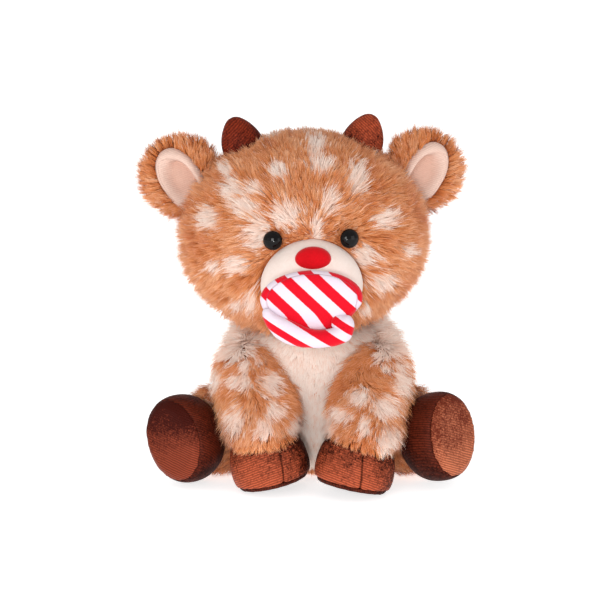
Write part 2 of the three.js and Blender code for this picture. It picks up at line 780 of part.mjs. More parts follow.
function makeHindLegs() {
  for (const side of sides) {
    const hip = hipOf(side);
    const seat = hindLegSeat(side);
    const group = groupAt(bodyGroup, seat);
    const hoofSeat = hindHoofSeat(side);
    const splay = upZ.clone().multiplyScalar(side.sign);
    const frontLegSpace = frontLegForm(side, jointGap);
    const beside = (solid) =>
      clearOfSwing(solid, frontLegSpace, shoulderOf(side), acrossX, frontLegSwingDegrees)
        .subtract(solidOf(frontHoofForm(side, jointGap)))
        .subtract(belowFloor);
    const clear = (solid, neighbour) => clearOfSwing(solid, neighbour, hip, splay, hindLegSplayDegrees);
    const legBody = solidOf(hindLegForm(side)).subtract(solidOf(hindHoofForm(side, seamGap)));
    const leg = beside(
      clear(clear(legBody, torsoForm(jointGap)), frontLegSpace).add(
        ballAt(hip, hindLeg.ballRadius, upZ),
      ),
    );
    const hoof = beside(solidOf(hindHoofForm(side)));
    const padFace = hindHoof.depth * (hindHoof.heelShare - 1);
    const slab = (low, high) =>
      solidOf(blockBetween(point(-overrun, low, -overrun), point(overrun, high, overrun)), hoofSeat);
    const upper = hoof.subtract(slab(-overrun, padFace + hindHoof.sole));
    const sole = hoof.intersect(slab(padFace, padFace + hindHoof.sole - seamGap));
    place(group, `hind_leg_${side.name}`, leg, cloth.spottedFur, seat);
    place(group, `hind_hoof_${side.name}`, upper, cloth.hoofVelvet, hoofSeat);
    place(group, `hind_sole_${side.name}`, sole, cloth.soleVelvet, hoofSeat);
    const socket = socketAt(hip, hindLeg.ballRadius, upZ);
    torsoSkin = torsoSkin.subtract(socket);
    torsoFilling = torsoFilling.subtract(socket);
  }
}

function makeTail() {
  const seat = seatAt(point(0, torso.halfDepth - tail.sink, tail.height));
  const path = [
    point(0, -tail.sink, 0),
    point(0, tail.sink, tail.curlShare * tail.rise),
    point(0, tail.reach, tail.rise),
  ];
  const form = { ...tail, path, halfA: tail.halfWidth, halfB: tail.halfDepth, facets: coarse };
  const solid = solidOf(stuffed(form), seat).subtract(solidOf(torsoForm(seamGap)));
  place(bodyGroup, 'tail', solid, cloth.spottedFur, seat);
}

makeFrontLegs();
makeHindLegs();
makeTail();

// The torso's top dips under the head at every turn of the head.
const neckSocket = socketAt(neckPoint, neck.ballRadius, upZ);
const dipped = (solid) =>
  clearOfSwing(solid, headForm(jointGap), neckPoint, upZ, headTurnDegrees).subtract(neckSocket);
const torsoMiddle = seatAt(point(0, 0, torso.height / 2));
place(bodyGroup, 'torso_skin', dipped(torsoSkin), cloth.spottedFur, torsoMiddle);
place(bodyGroup, 'chest_panel', dipped(chestPanel), cloth.creamFur, torsoMiddle);
place(bodyGroup, 'torso_filling', dipped(torsoFilling), cloth.fibre, torsoMiddle);

export default deer;
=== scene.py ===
import math

import bmesh
import bpy
import numpy as np
from mathutils import Matrix, Vector, kdtree


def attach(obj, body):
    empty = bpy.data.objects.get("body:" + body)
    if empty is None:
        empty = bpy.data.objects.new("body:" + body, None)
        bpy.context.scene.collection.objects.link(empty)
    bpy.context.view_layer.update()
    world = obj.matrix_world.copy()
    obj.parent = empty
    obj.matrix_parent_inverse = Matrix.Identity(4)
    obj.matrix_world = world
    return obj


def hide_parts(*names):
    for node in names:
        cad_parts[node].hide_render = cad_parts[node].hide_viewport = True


# A seated plush fawn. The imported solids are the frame; this script dresses them in fur,
# velvet and velour. Sizes in the dictionaries are millimetres, and a mesh is in metres.
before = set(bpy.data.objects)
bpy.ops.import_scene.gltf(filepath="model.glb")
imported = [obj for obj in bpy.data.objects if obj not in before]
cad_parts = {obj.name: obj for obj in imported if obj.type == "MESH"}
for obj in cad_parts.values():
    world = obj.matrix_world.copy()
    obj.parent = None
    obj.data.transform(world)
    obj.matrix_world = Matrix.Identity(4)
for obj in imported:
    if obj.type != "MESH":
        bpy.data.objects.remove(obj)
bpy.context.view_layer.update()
mm = 0.001
sides = (("left", -1, 0), ("right", 1, 1))

# Camera: in front, a little above the toy
view = {"target": (-9.75, 0.0, 128.7), "distance": 1800.0, "down": 10.0, "lens": 144.0, "sensor": 36.0}


def makeCamera():
    data = bpy.data.cameras.new("camera")
    data.lens, data.sensor_width = view["lens"], view["sensor"]
    data.clip_start, data.clip_end = 0.1, 20.0
    camera = bpy.data.objects.new("camera", data)
    slope = math.radians(view["down"])
    back = Vector((0.0, -math.cos(slope), math.sin(slope)))
    camera.location = (Vector(view["target"]) + back * view["distance"]) * mm
    camera.rotation_mode = "QUATERNION"
    camera.rotation_quaternion = (-back).to_track_quat("-Z", "Y")
    bpy.context.scene.collection.objects.link(camera)
    bpy.context.scene.camera = camera


makeCamera()
print("camera ready")


# Shader maths: a socket that can be added, multiplied and so on
class Wire:
    def __init__(self, tree, socket):
        self.tree, self.socket = tree, socket

    def math(self, operation, *others, clamp=False):
        node = self.tree.nodes.new("ShaderNodeMath")
        node.operation, node.use_clamp = operation, clamp
        for slot, value in zip(node.inputs, (self, *others)):
            plug(self.tree, slot, value)
        return Wire(self.tree, node.outputs[0])

    def __add__(self, other):
        return self.math("ADD", other)

    def __sub__(self, other):
        return self.math("SUBTRACT", other)

    def __rsub__(self, other):
        return self.math("MULTIPLY_ADD", -1.0, other)

    def __mul__(self, other):
        return self.math("MULTIPLY", other)

    def __truediv__(self, other):
        return self.math("DIVIDE", other)

    def __pow__(self, other):
        return self.math("POWER", other)

    __radd__, __rmul__ = __add__, __mul__

    def between(self, low, high):
        return ((self - low) / (high - low)).math("MULTIPLY", 1.0, clamp=True)


def plug(tree, slot, value):
    if isinstance(value, Wire):
        tree.links.new(value.socket, slot)
    elif value is not None:
        slot.default_value = value


def linear(red, green, blue):
    share = [c / 255 for c in (red, green, blue)]
    return (*[c / 12.92 if c <= 0.04045 else ((c + 0.055) / 1.055) ** 2.4 for c in share], 1.0)


class Finish:
    def __init__(self, name, **constants):
        self.material = bpy.data.materials.new(name)
        self.material.use_nodes = True
        self.tree = self.material.node_tree
        self.shader = self.tree.nodes["Principled BSDF"]
        for socket, value in constants.items():
            self.feed(socket, value)

    def feed(self, socket, value):
        plug(self.tree, self.shader.inputs[socket.replace("_", " ")], value)
        return self

    def node(self, kind, settings=None, inputs=None, output=0):
        node = self.tree.nodes.new("ShaderNode" + kind)
        for key, value in (settings or {}).items():
            if key == "stops":
                ramp = node.color_ramp
                while len(ramp.elements) < len(value):
                    ramp.elements.new(0.5)
                for element, (place, colour) in zip(ramp.elements, value):
                    element.position, element.color = place, colour
            else:
                setattr(node, key, value)
        for key, value in (inputs or {}).items():
            plug(self.tree, node.inputs[key], value)
        return Wire(self.tree, node.outputs[output])

    def place(self):
        return self.node("TexCoord", output="Object")

    def noise(self, size, detail=2.0, vector=None, seed=0.0, output=0):
        inputs = {"Vector": vector or self.place(), "Scale": 1.0 / (size * mm), "Detail": detail, "W": seed}
        return self.node("TexNoise", {"noise_dimensions": "4D"}, inputs, output)

    def along(self, direction, vector=None):
        inputs = {0: vector or self.place(), 1: tuple(direction)}
        return self.node("VectorMath", {"operation": "DOT_PRODUCT"}, inputs, "Value")

    def mix(self, factor, first, second):
        return self.node(
            "Mix", {"data_type": "RGBA"}, {0: factor, 6: first, 7: second}, 2
        )

    def bump(self, height, depth, strength=1.0):
        return self.node("Bump", None, {"Height": height, "Distance": depth * mm, "Strength": strength})


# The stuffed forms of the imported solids, repeated here because nothing else says where they are
def seatAt(where, pitch=0.0, roll=0.0, turn=0.0):
    turned = Matrix.Rotation(math.radians(turn), 4, "Z") @ Matrix.Rotation(math.radians(roll), 4, "Y")
    return Matrix.Translation(Vector(where)) @ turned @ Matrix.Rotation(math.radians(pitch), 4, "X")


def shareAt(shares, t):
    points = np.concatenate(([shares[0]], shares, [shares[-1]]))
    at = np.clip(t, 0, 1) * (len(shares) - 1)
    i = np.minimum(at.astype(int), len(shares) - 2)
    w = at - i
    a, b, c, d = (points[i + k] for k in range(4))
    v0, v1 = (c - a) / 2, (d - b) / 2
    return (2 * b - 2 * c + v0 + v1) * w**3 + (-3 * b + 3 * c - 2 * v0 - v1) * w**2 + v0 * w + b


def swellAt(full, t):
    return np.maximum(0, 1 - np.abs(2 * t - 1) ** full) ** (1 / full)


def stuffed(seat, start, end, halfA, halfB, full, shares=(1.0, 1.0)):
    start, end = Vector(start), Vector(end)
    tangent = (end - start).normalized()
    across = Vector((1, 0, 0))
    wide = (across - tangent * across.dot(tangent)).normalized()
    return {
        "seat": seat, "start": np.array(start), "length": (end - start).length,
        "axes": np.array([wide, tangent.cross(wide), tangent]),
        "half": (halfA, halfB), "full": full, "shares": np.array(shares, float),
    }


def turnPoints(matrix, points):
    rows = np.array(matrix)
    return points @ rows[:3, :3].T + rows[:3, 3]


def formPoints(form, unit, grow=0.0):
    t = (1 + unit[:, 2]) / 2
    angle = np.arctan2(unit[:, 1], unit[:, 0])
    swell, share = swellAt(form["full"], t), shareAt(form["shares"], t)
    local = np.stack([
        (form["half"][0] * share + grow) * swell * np.cos(angle),
        (form["half"][1] * share + grow) * swell * np.sin(angle),
        t * (form["length"] + 2 * grow) - grow,
    ], 1)
    return turnPoints(form["seat"], form["start"] + local @ form["axes"])


# 1 on the form's surface, less inside it
def formShare(form, points, grow=0.0):
    local = (turnPoints(form["seat"].inverted(), points) - form["start"]) @ form["axes"].T
    t = (local[:, 2] + grow) / (form["length"] + 2 * grow)
    swell = np.maximum(swellAt(form["full"], np.clip(t, 0, 1)), 1e-4)
    share = shareAt(form["shares"], t)
    radius = np.hypot(local[:, 0] / (form["half"][0] * share + grow), local[:, 1] / (form["half"][1] * share + grow))
    return np.where((t < 0) | (t > 1), 9.0, radius / swell)


def pushOut(form, points, grow):
    share = np.maximum(formShare(form, points, grow), 0.3)
    local = (turnPoints(form["seat"].inverted(), points) - form["start"]) @ form["axes"].T
    local[:, :2] *= np.where(share < 1, 1 / share, 1.0)[:, None]
    return turnPoints(form["seat"], form["start"] + local @ form["axes"])


headSize = {"half": (88.5, 76.0, 77.0), "full": 2.08, "shares": (0.93, 1.01, 1.01, 0.98, 0.97)}
headSeat = seatAt((-6, -2, 108), 0, -0.9, 4)
headCentre = Vector((0, -5, 73.5))


def headFront(x, z):
    t = np.array([(z / headSize["half"][2] + 1) / 2])
    swell = swellAt(headSize["full"], t)[0] * shareAt(np.array(headSize["shares"]), t)[0]
    return headSize["half"][1] * math.sqrt(max(0.0, swell**2 - (x / headSize["half"][0]) ** 2))


def muzzleFace(z):
    return 24 * (1 - abs(z / 33) ** 2.3) ** (1 / 2.3)


headForm = stuffed(
    headSeat, headCentre - Vector((0, 0, 77)), headCentre + Vector((0, 0, 77)),
    88.5, 76, headSize["full"], headSize["shares"],
)
torsoForm = stuffed(Matrix(), (0, 0, -0.5), (0, 0, 117), 61, 49, 4.4, (0.97, 1, 1, 1.02, 1.06))
muzzleCentre = headCentre + Vector((0, 24 - headFront(0, -28) - 22, -28))
muzzleForm = stuffed(headSeat, muzzleCentre + Vector((0, 24, 0)), muzzleCentre - Vector((0, 24, 0)), 37, 33, 2.3)
noseSeat = headSeat @ seatAt(muzzleCentre + Vector((0, 2 - muzzleFace(21.4), 21.4)))
noseForm = stuffed(noseSeat, (0, 7, 0), (0, -7, 0), 13.4, 9.4, 2.4)
mouth = muzzleCentre + Vector((0, -muzzleFace(-4.6), -4.6))
pacifierSeat = headSeat @ seatAt(mouth + Vector((-2.5, 3.5 - 9.5, 0)))
shieldForm = stuffed(pacifierSeat, (0, 9.5, 0), (0, -9.5, 0), 37.2, 21.2, 2.5)

eyeSeats, hornForms, earSeats, earForms = {}, {}, {}, {}
frontHoofForms, frontLegForms, hindLegForms, hindHoofForms = {}, {}, {}, {}
for side, sign, index in sides:
    x, z = 27.6 * sign, 5.0
    y = -headFront(x, z)
    facing = Vector((x / 88.5**2, y / 76**2, z / 77**2)).normalized()
    standing = Matrix.Translation(headCentre + Vector((x, y, z)) + facing * (4.2 - 6.4))
    eyeSeats[side] = headSeat @ standing @ facing.to_track_quat("Z", "Y").to_matrix().to_4x4()
    x = 44.5 * sign
    top = 77 * math.sqrt(1 - (x / 88.5) ** 2)
    hornSeat = headSeat @ seatAt(headCentre + Vector((x, 0, top)), 0, 21 * sign)
    hornForms[side] = stuffed(hornSeat, (0, 0, -18), (0, 0, 22), 15.5, 12.5, 2.4, (1.1, 1.1, 1.04, 0.88, 0.7))
    earSeats[side] = headSeat @ seatAt(headCentre + Vector((81 * sign, 4, 29)), 0, 33 * sign, 10 * sign)
    earForms[side] = stuffed(earSeats[side], (0, 0, -14), (0, 0, 44), 28, 9.5, 2.2, (0.86, 0.96, 1.02, 1.02, 0.98))
    lift = math.hypot(28.5 * math.sin(math.radians(13)), 29 * math.sin(math.radians(3))) - 0.5
    hoofSeat = seatAt((28 * sign, -(74, 88)[index], lift), -3, 13 * sign, (8, 14)[index])
    frontHoofForms[side] = stuffed(hoofSeat, (0, 0, -11), (0, 8.8, 44), 28.5, 29, 2.6, (1.02, 1.04, 1, 0.95, 0.9))
    shoulder, ankle = Vector((46 * sign, -25, 78)), hoofSeat @ Vector((0, 0, 35.2))
    down = (ankle - shoulder).normalized()
    frontLegForms[side] = stuffed(
        Matrix(), shoulder - down * 27, ankle + down * 22.4, 29, 28, 3, (0.96, 1.02, 1.02, 1, 1)
    )
    legSeat = seatAt((57 * sign, -10, 36), 0, 0, (43, 37)[index] * sign)
    hindLegForms[side] = stuffed(legSeat, (0, 24, 0), (0, -46, 0), 31, 36.5, 2.8, (0.96, 1.01, 1, 0.98, 0.94))
    hoofSeat = seatAt(
        legSeat @ Vector((0, -46, -2)), -(4, 14)[index], (24, 12)[index] * sign, (35, 45)[index] * sign
    )
    hindHoofForms[side] = stuffed(
        hoofSeat, (0, 18.4, 0), (0, 18.4 - 46 * 1.22, 0), 27, 33, 2.5, (0.9, 0.98, 1, 1.01, 1.02)
    )
print("forms ready")


# Meshes
def link(name, mesh):
    piece = bpy.data.objects.new(name, mesh)
    bpy.context.scene.collection.objects.link(piece)
    return piece


def roundForm(name, form, grow=0.0, segments=64, rings=32, cuts=()):
    bm = bmesh.new()
    bmesh.ops.create_uvsphere(bm, u_segments=segments, v_segments=rings, radius=1)
    unit = np.array([v.co for v in bm.verts])
    for vert, place in zip(bm.verts, formPoints(form, unit, grow)):
        vert.co = place * mm
    for where, outward in cuts:
        everything = bm.verts[:] + bm.edges[:] + bm.faces[:]
        bmesh.ops.bisect_plane(
            bm, geom=everything, plane_co=Vector(where) * mm, plane_no=outward, clear_outer=True
        )
        bmesh.ops.holes_fill(bm, edges=[e for e in bm.edges if e.is_boundary])
    bmesh.ops.recalc_face_normals(bm, faces=bm.faces[:])
    if bm.calc_volume(signed=True) < 0:
        bmesh.ops.reverse_faces(bm, faces=bm.faces[:])
    mesh = bpy.data.meshes.new(name)
    bm.to_mesh(mesh)
    bm.free()
    return link(name, mesh)


def copyNode(name, node):
    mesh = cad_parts[node].data.copy()
    mesh.name = name
    bm = bmesh.new()
    bm.from_mesh(mesh)
    bmesh.ops.remove_doubles(bm, verts=bm.verts[:], dist=0.01 * mm)
    bm.to_mesh(mesh)
    bm.free()
    mesh.materials.clear()
    return link(name, mesh)


def settle(piece):
    depsgraph = bpy.context.evaluated_depsgraph_get()
    mesh = bpy.data.meshes.new_from_object(piece.evaluated_get(depsgraph))
    piece.modifiers.clear()
    piece.data = mesh


def remesh(piece, voxel, smooth=4, grow=0.0):
    modifier = piece.modifiers.new("remesh", "REMESH")
    modifier.mode, modifier.voxel_size = "VOXEL", voxel * mm
    if smooth:
        modifier = piece.modifiers.new("smooth", "SMOOTH")
        modifier.factor, modifier.iterations = 0.5, smooth
    if grow:
        modifier = piece.modifiers.new("grow", "DISPLACE")
        modifier.mid_level, modifier.strength = 0.0, grow * mm
    settle(piece)


def softShade(piece):
    piece.data.shade_smooth()


def placesOf(mesh):
    places = np.empty(len(mesh.vertices) * 3)
    mesh.vertices.foreach_get("co", places)
    return places.reshape(-1, 3) / mm


def setPlaces(mesh, places):
    mesh.vertices.foreach_set("co", (places * mm).ravel())
    mesh.update()


# Stuffing: the cloth swells under pressure while its seams are held. A toy's cloth is worked at
# twenty times its size, where the solver's stiffness suits it, and brought back.
stuffing = {"zoom": 20.0, "pressure": 26.0, "stiffness": 5.0, "mass": 0.05, "frames": 20}


def inflate(piece, voxel, cap, held, lowest=0.05):
    remesh(piece, voxel, 3)
    rest = placesOf(piece.data)
    zoom = stuffing["zoom"]
    setPlaces(piece.data, rest * zoom)
    pins = piece.vertex_groups.new(name="seams")
    pins.add([int(i) for i in np.flatnonzero(held(rest))], 1.0, "REPLACE")
    cloth = piece.modifiers.new("stuffing", "CLOTH")
    settings = cloth.settings
    settings.mass, settings.vertex_group_mass = stuffing["mass"], "seams"
    settings.use_pressure, settings.uniform_pressure_force = True, stuffing["pressure"]
    settings.tension_stiffness = settings.compression_stiffness = stuffing["stiffness"]
    settings.effector_weights.gravity = 0
    cloth.point_cache.frame_start, cloth.point_cache.frame_end = 1, stuffing["frames"]
    for number in range(1, stuffing["frames"] + 1):
        bpy.context.scene.frame_set(number)
    settle(piece)
    moved = placesOf(piece.data) / zoom - rest
    far = np.linalg.norm(moved, axis=1)
    moved *= (np.minimum(far, cap) / np.maximum(far, 1e-9))[:, None]
    rest = rest + moved
    bpy.context.scene.frame_set(1)
    setPlaces(piece.data, rest)
    modifier = piece.modifiers.new("finer", "SUBSURF")
    modifier.levels = modifier.render_levels = 1
    settle(piece)
    places = placesOf(piece.data)
    places[:, 2] = np.maximum(places[:, 2], lowest)
    setPlaces(piece.data, places)
    softShade(piece)


# A sewn seam draws the cloth in along a plane, on the side that faces outward
def sew(piece, where, across, outward, depth, reach):
    piece.data.update()
    normals = np.empty(len(piece.data.vertices) * 3)
    piece.data.vertices.foreach_get("normal", normals)
    places = placesOf(piece.data)
    off = (places - np.array(where)) @ np.array(across)
    front = ease((places - np.array(where)) @ np.array(outward), 0, 6)
    groove = depth * np.maximum(0, 1 - np.abs(off) / reach) ** 1.5 * front
    setPlaces(piece.data, places - normals.reshape(-1, 3) * groove[:, None])


def near(where, direction, reach):
    return lambda places: np.abs((places - np.array(where)) @ np.array(direction)) < reach


def dress(piece, finish, body, nodes=()):
    piece.data.materials.clear()
    piece.data.materials.append(finish.material)
    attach(piece, body)
    if nodes:
        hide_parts(*nodes)
    return piece


# Smooth noise from a few waves, the same on each run
def waves(points, size, seed, count=7):
    chance = np.random.default_rng(seed)
    direction = chance.normal(size=(count, 3))
    direction /= np.linalg.norm(direction, axis=1)[:, None]
    pace = 2 * math.pi / (size * chance.uniform(0.7, 1.4, count))
    phase = chance.uniform(0, 2 * math.pi, count)
    return np.sin(points @ (direction * pace[:, None]).T + phase).sum(1) / math.sqrt(count)


def ease(value, low, high):
    t = np.clip((value - low) / (high - low), 0, 1)
    return t * t * (3 - 2 * t)


def unit(vectors):
    return vectors / np.maximum(np.linalg.norm(vectors, axis=-1, keepdims=True), 1e-9)


def scatter(source, perMm2, chance):
    mesh = source.data
    mesh.calc_loop_triangles()
    corners = np.empty(len(mesh.loop_triangles) * 3, dtype=np.int32)
    mesh.loop_triangles.foreach_get("vertices", corners)
    corners = corners.reshape(-1, 3)
    places, normals = np.empty(len(mesh.vertices) * 3), np.empty(len(mesh.vertices) * 3)
    mesh.vertices.foreach_get("co", places)
    mesh.vertices.foreach_get("normal", normals)
    places, normals = places.reshape(-1, 3) / mm, normals.reshape(-1, 3)
    a, b, c = (places[corners[:, k]] for k in range(3))
    area = np.linalg.norm(np.cross(b - a, c - a), axis=1) / 2
    picked = chance.choice(len(area), int(area.sum() * perMm2), p=area / area.sum())
    u, v = np.sqrt(chance.random(len(picked))), chance.random(len(picked))
    weights = np.stack([1 - u, u * (1 - v), u * v], 1)[:, :, None]
    found = corners[picked]
    return (places[found] * weights).sum(1), unit((normals[found] * weights).sum(1))


def turnedAbout(vectors, axes, angles):
    return vectors * np.cos(angles)[:, None] + np.cross(axes, vectors) * np.sin(angles)[:, None]


# Spots: place on the coat and half sizes across and up, listed from what shows in front
spots = [
    (2, -37, 252, 6, 10), (6, -57, 238, 9, 5), (-26, -60, 234, 6, 5), (32, -56, 228, 6, 11),
    (12, -73, 213, 5, 8), (-59, -55, 220, 7, 7), (-50, -67, 209, 10, 6), (-44, -63, 221, 7, 4),
    (-20, -78, 204, 10, 9), (-42, -77, 192, 9, 11), (-77, -51, 198, 7, 7), (3, -81, 194, 4, 9),
    (53, -58, 199, 8, 7), (38, -72, 173, 8, 6), (50, -58, 152, 9, 7), (-57, -69, 167, 7, 6),
    (-46, -63, 139, 4, 9), (-56, -51, 134, 5, 4), (-72, -57, 164, 4, 4), (71, -42, 173, 5, 4),
    (38, -48, 131, 4, 4), (-64, -34, 232, 5, 4),
    (-55, -64, 79, 9, 4), (-30, -67, 78, 7, 7), (-27, -84, 62, 6, 5), (-58, -82, 52, 7, 9),
    (-36, -95, 50, 6, 6), (-13, -79, 49, 6, 5), (-73, -35, 75, 6, 7), (-37, -26, 90, 4, 4),
    (66, -55, 77, 7, 10), (33, -85, 72, 8, 4), (53, -87, 65, 9, 6), (18, -89, 60, 9, 4),
    (36, -103, 54, 4, 6), (10, -75, 50, 7, 6), (55, -98, 42, 9, 9),
]
hiddenSpots = []
coat = {
    "ginger": 0.36, "cream": 0.84, "drift": 0.07, "jitter": 0.06, "tufts": 0.05, "ragged": 0.24, "edge": 0.65,
    "spotGrowth": 1.14,
}


def addHiddenSpots(source, spacing, seed):
    chance = np.random.default_rng(seed)
    places, normals = scatter(source, 0.02, chance)
    for place, normal in zip(places, normals):
        if normal[1] < -0.1:
            continue
        near = [p for p, _ in hiddenSpots if np.linalg.norm(p - place) < spacing]
        seen = [s for s in spots if np.linalg.norm(np.array(s[:3]) - place) < spacing]
        if not near and not seen:
            hiddenSpots.append((place, chance.uniform(6, 10)))


def spotShare(points):
    ragged = 1 + coat["ragged"] * waves(points, 6.0, 11)
    best = np.full(len(points), 9.0)
    for x, y, z, across, up in spots:
        d = (points - (x, y, z)) / (across * coat["spotGrowth"], 24.0, up * coat["spotGrowth"])
        best = np.minimum(best, np.linalg.norm(d, axis=1))
    for place, radius in hiddenSpots:
        best = np.minimum(best, np.linalg.norm(points - place, axis=1) / radius)
    return 1 - ease(best * ragged, 1 - coat["edge"], 1 + coat["edge"])


# Fur: each hair is a narrow strip that tapers to both ends, drawn together in tufts
def growFur(name, body, source, fur, comb, drop, seed, lengthAt=None, creamAt=None, around=(), floor=0.8):
    chance = np.random.default_rng(seed)
    roots, normals = scatter(source, fur["perMm2"], chance)
    keep = ~drop(roots)
    roots, normals = roots[keep], normals[keep]
    count = len(roots)
    flow = comb(roots, normals)
    flow = unit(flow - normals * (flow * normals).sum(1)[:, None])
    flow = turnedAbout(flow, normals, math.radians(fur["swirl"]) * waves(roots, 22.0, seed + 1))
    rise = fur["ruffle"] * waves(roots, 9.0, seed + 3) + 0.6 * fur["ruffle"] * waves(roots, 4.5, seed + 4)
    if "riseAt" in fur:
        rise = rise + fur["riseAt"](roots)
    lengths = fur["length"] * (lengthAt(roots) if lengthAt else np.ones(count))

    guides = chance.choice(count, max(8, int(count / fur["perTuft"])), replace=False)
    tree = kdtree.KDTree(len(guides))
    for i, g in enumerate(guides):
        tree.insert(roots[g], i)
    tree.balance()
    tuft = np.array([tree.find(root)[1] for root in roots])
    tufts = len(guides)
    tuftTurn = math.radians(fur["tuftTurn"]) * chance.normal(size=tufts)
    tuftLift = fur["tuftLift"] * chance.normal(size=tufts)
    tuftLength = chance.uniform(1 - fur["uneven"], 1 + fur["uneven"] * 0.6, tufts)
    tuftShade = coat["tufts"] * chance.normal(size=tufts)

    def curve(places, turn, lift, length):
        heading = turnedAbout(flow[places], normals[places], turn)
        steps = [np.zeros((len(places), 3))]
        for degrees in fur["lift"]:
            angle = np.radians(np.clip(degrees + lift + rise[places], 4, 88))
            step = normals[places] * np.sin(angle)[:, None] + heading * np.cos(angle)[:, None]
            steps.append(steps[-1] + step * (length / len(fur["lift"]))[:, None])
        return np.stack(steps, 1)

    guard = chance.random(count) < fur["guards"]
    own = curve(
        np.arange(count), math.radians(fur["stray"]) * chance.normal(size=count),
        9 * chance.normal(size=count) + 24 * guard, lengths * chance.uniform(0.75, 1.15, count) * (1 + 0.3 * guard),
    )
    shared = curve(guides, tuftTurn, tuftLift, lengths[guides] * tuftLength)[tuft]
    along = np.linspace(0, 1, own.shape[1])[None, :, None]
    loose = chance.uniform(0.2, 1, count)[:, None, None]
    pull, pinch = fur["follow"] * loose**0.4, fur["pinch"] * loose
    toTuft = (roots[guides[tuft]] - roots)[:, None, :]
    line = roots[:, None, :] + own * (1 - pull) + shared * pull + toTuft * pinch * along**1.5
    flat = line.reshape(-1, 3)
    for form, gap in around:
        flat = pushOut(form, flat, gap)
    flat[:, 2] = np.maximum(flat[:, 2], floor)
    line = flat.reshape(line.shape)

    middle = line[:, 2]
    cream = spotShare(middle)
    if creamAt:
        cream = np.maximum(cream, creamAt(middle))
    isCream = chance.random(count) < ease(cream + 0.12 * chance.normal(size=tufts)[tuft], 0.1, 0.9)
    drift = coat["drift"] * waves(roots, 26.0, seed + 2) + 0.5 * coat["drift"] * waves(roots, 7.0, seed + 5)
    ginger = coat["ginger"] + drift + 0.16 * cream
    shade = np.where(isCream, coat["cream"] + fur.get("whiter", 0) - 0.12 * (1 - cream), ginger)
    shade = np.clip(shade + tuftShade[tuft] + coat["jitter"] * chance.normal(size=count), 0.01, 0.985)

    tangent = unit(np.diff(line, axis=1, append=line[:, -1:] * 2 - line[:, -2:-1]))
    out = (unit(normals + fur["bend"](roots)) if "bend" in fur else normals)[:, None, :]
    side = unit(np.cross(tangent, np.broadcast_to(out, tangent.shape)))
    twist = (chance.uniform(-1, 1, count) * math.radians(fur["twist"]))[:, None, None]
    side = side * np.cos(twist) + np.cross(tangent, side) * np.sin(twist)
    face = np.cross(side, tangent)
    soft = unit(out * fur["softness"] + face * (1 - fur["softness"]))
    wide = fur["width"] * chance.uniform(0.75, 1.25, count)[:, None, None] * np.array([1, 0.8])[None, :, None] / 2
    left, right = line[:, 1:3] - side[:, 1:3] * wide, line[:, 1:3] + side[:, 1:3] * wide
    between = np.stack([left, right], 2).reshape(count, 4, 3)
    corners = np.concatenate([line[:, :1], between, line[:, 3:]], 1)
    rounding = 0.3 * side[:, 1:3]
    leaning = np.stack([soft[:, 1:3] - rounding, soft[:, 1:3] + rounding], 2).reshape(count, 4, 3)
    leaning = unit(np.concatenate([soft[:, :1], leaning, soft[:, 3:]], 1))

    middleOf = roots.mean(0)
    order = np.argsort(np.arctan2(roots[guides[tuft], 1] - middleOf[1], roots[guides[tuft], 0] - middleOf[0]))
    parts = np.array_split(order, int(math.ceil(count * 4 / 196000)))
    for number, members in enumerate(parts):
        label = name if len(parts) == 1 else f"{name}_{number + 1}"
        mesh = stripMesh(label, corners[members] * mm, leaning[members], shade[members])
        dress(link(label, mesh), furFinish, body)
    print(name, count, "hairs in", len(parts))


# A strip's corners are its root, two pairs and its tip
def stripMesh(name, corners, normals, shade):
    count = len(corners)
    pattern = [0, 2, 1, 1, 2, 4, 3, 3, 4, 5]
    across, along = np.array([0.5, 0, 1, 0, 1, 0.5]), np.array([0, 1, 1, 2, 2, 3]) / 3
    mesh = bpy.data.meshes.new(name)
    mesh.vertices.add(count * 6)
    mesh.vertices.foreach_set("co", corners.ravel())
    loops = (np.array(pattern)[None, :] + 6 * np.arange(count)[:, None]).ravel()
    mesh.loops.add(len(loops))
    mesh.loops.foreach_set("vertex_index", loops)
    starts = (np.array([0, 3, 7])[None, :] + 10 * np.arange(count)[:, None]).ravel()
    mesh.polygons.add(len(starts))
    mesh.polygons.foreach_set("loop_start", starts)
    mesh.update(calc_edges=True)
    mesh.polygons.foreach_set("use_smooth", np.ones(len(starts), bool))
    u = shade[:, None] + 0.006 * across[None, :]
    v = np.tile(along, (count, 1))
    uv = np.stack([u[:, pattern], v[:, pattern]], 2)
    mesh.uv_layers.new(name="OFBake").data.foreach_set("uv", uv.ravel())
    mesh.normals_split_custom_set_from_vertices(normals.reshape(-1, 3))
    return mesh


# Finishes
def makeFurFinish():
    finish = Finish("fur", Roughness=0.62, Specular_IOR_Level=0.25, Sheen_Weight=0.15, Sheen_Roughness=0.5)
    place = finish.node("UVMap", {"uv_map": "OFBake"})
    split = finish.node("SeparateXYZ", None, {0: place}, "X")
    along = Wire(finish.tree, split.socket.node.outputs["Y"])
    tips = [
        (0.0, linear(186, 86, 34)), (0.22, linear(209, 116, 55)), (0.40, linear(227, 145, 84)),
        (0.58, linear(240, 180, 136)), (0.78, linear(246, 216, 200)), (1.0, linear(249, 236, 226)),
    ]
    # Roots are darker than tips: partly the fibres' own darker roots, partly painted shade of the fur's depths.
    roots = [
        (0.0, linear(146, 62, 22)), (0.22, linear(172, 80, 32)), (0.40, linear(192, 99, 46)),
        (0.58, linear(218, 146, 102)), (0.78, linear(238, 200, 178)), (1.0, linear(248, 228, 214)),
    ]
    tip = finish.node("ValToRGB", {"stops": tips}, {0: split})
    root = finish.node("ValToRGB", {"stops": roots}, {0: split})
    shown = finish.mix(along.between(0.15, 0.8), root, tip)
    finish.feed("Base Color", finish.mix(along.between(0.7, 1.0) * 0.25, shown, linear(252, 226, 206)))
    return finish


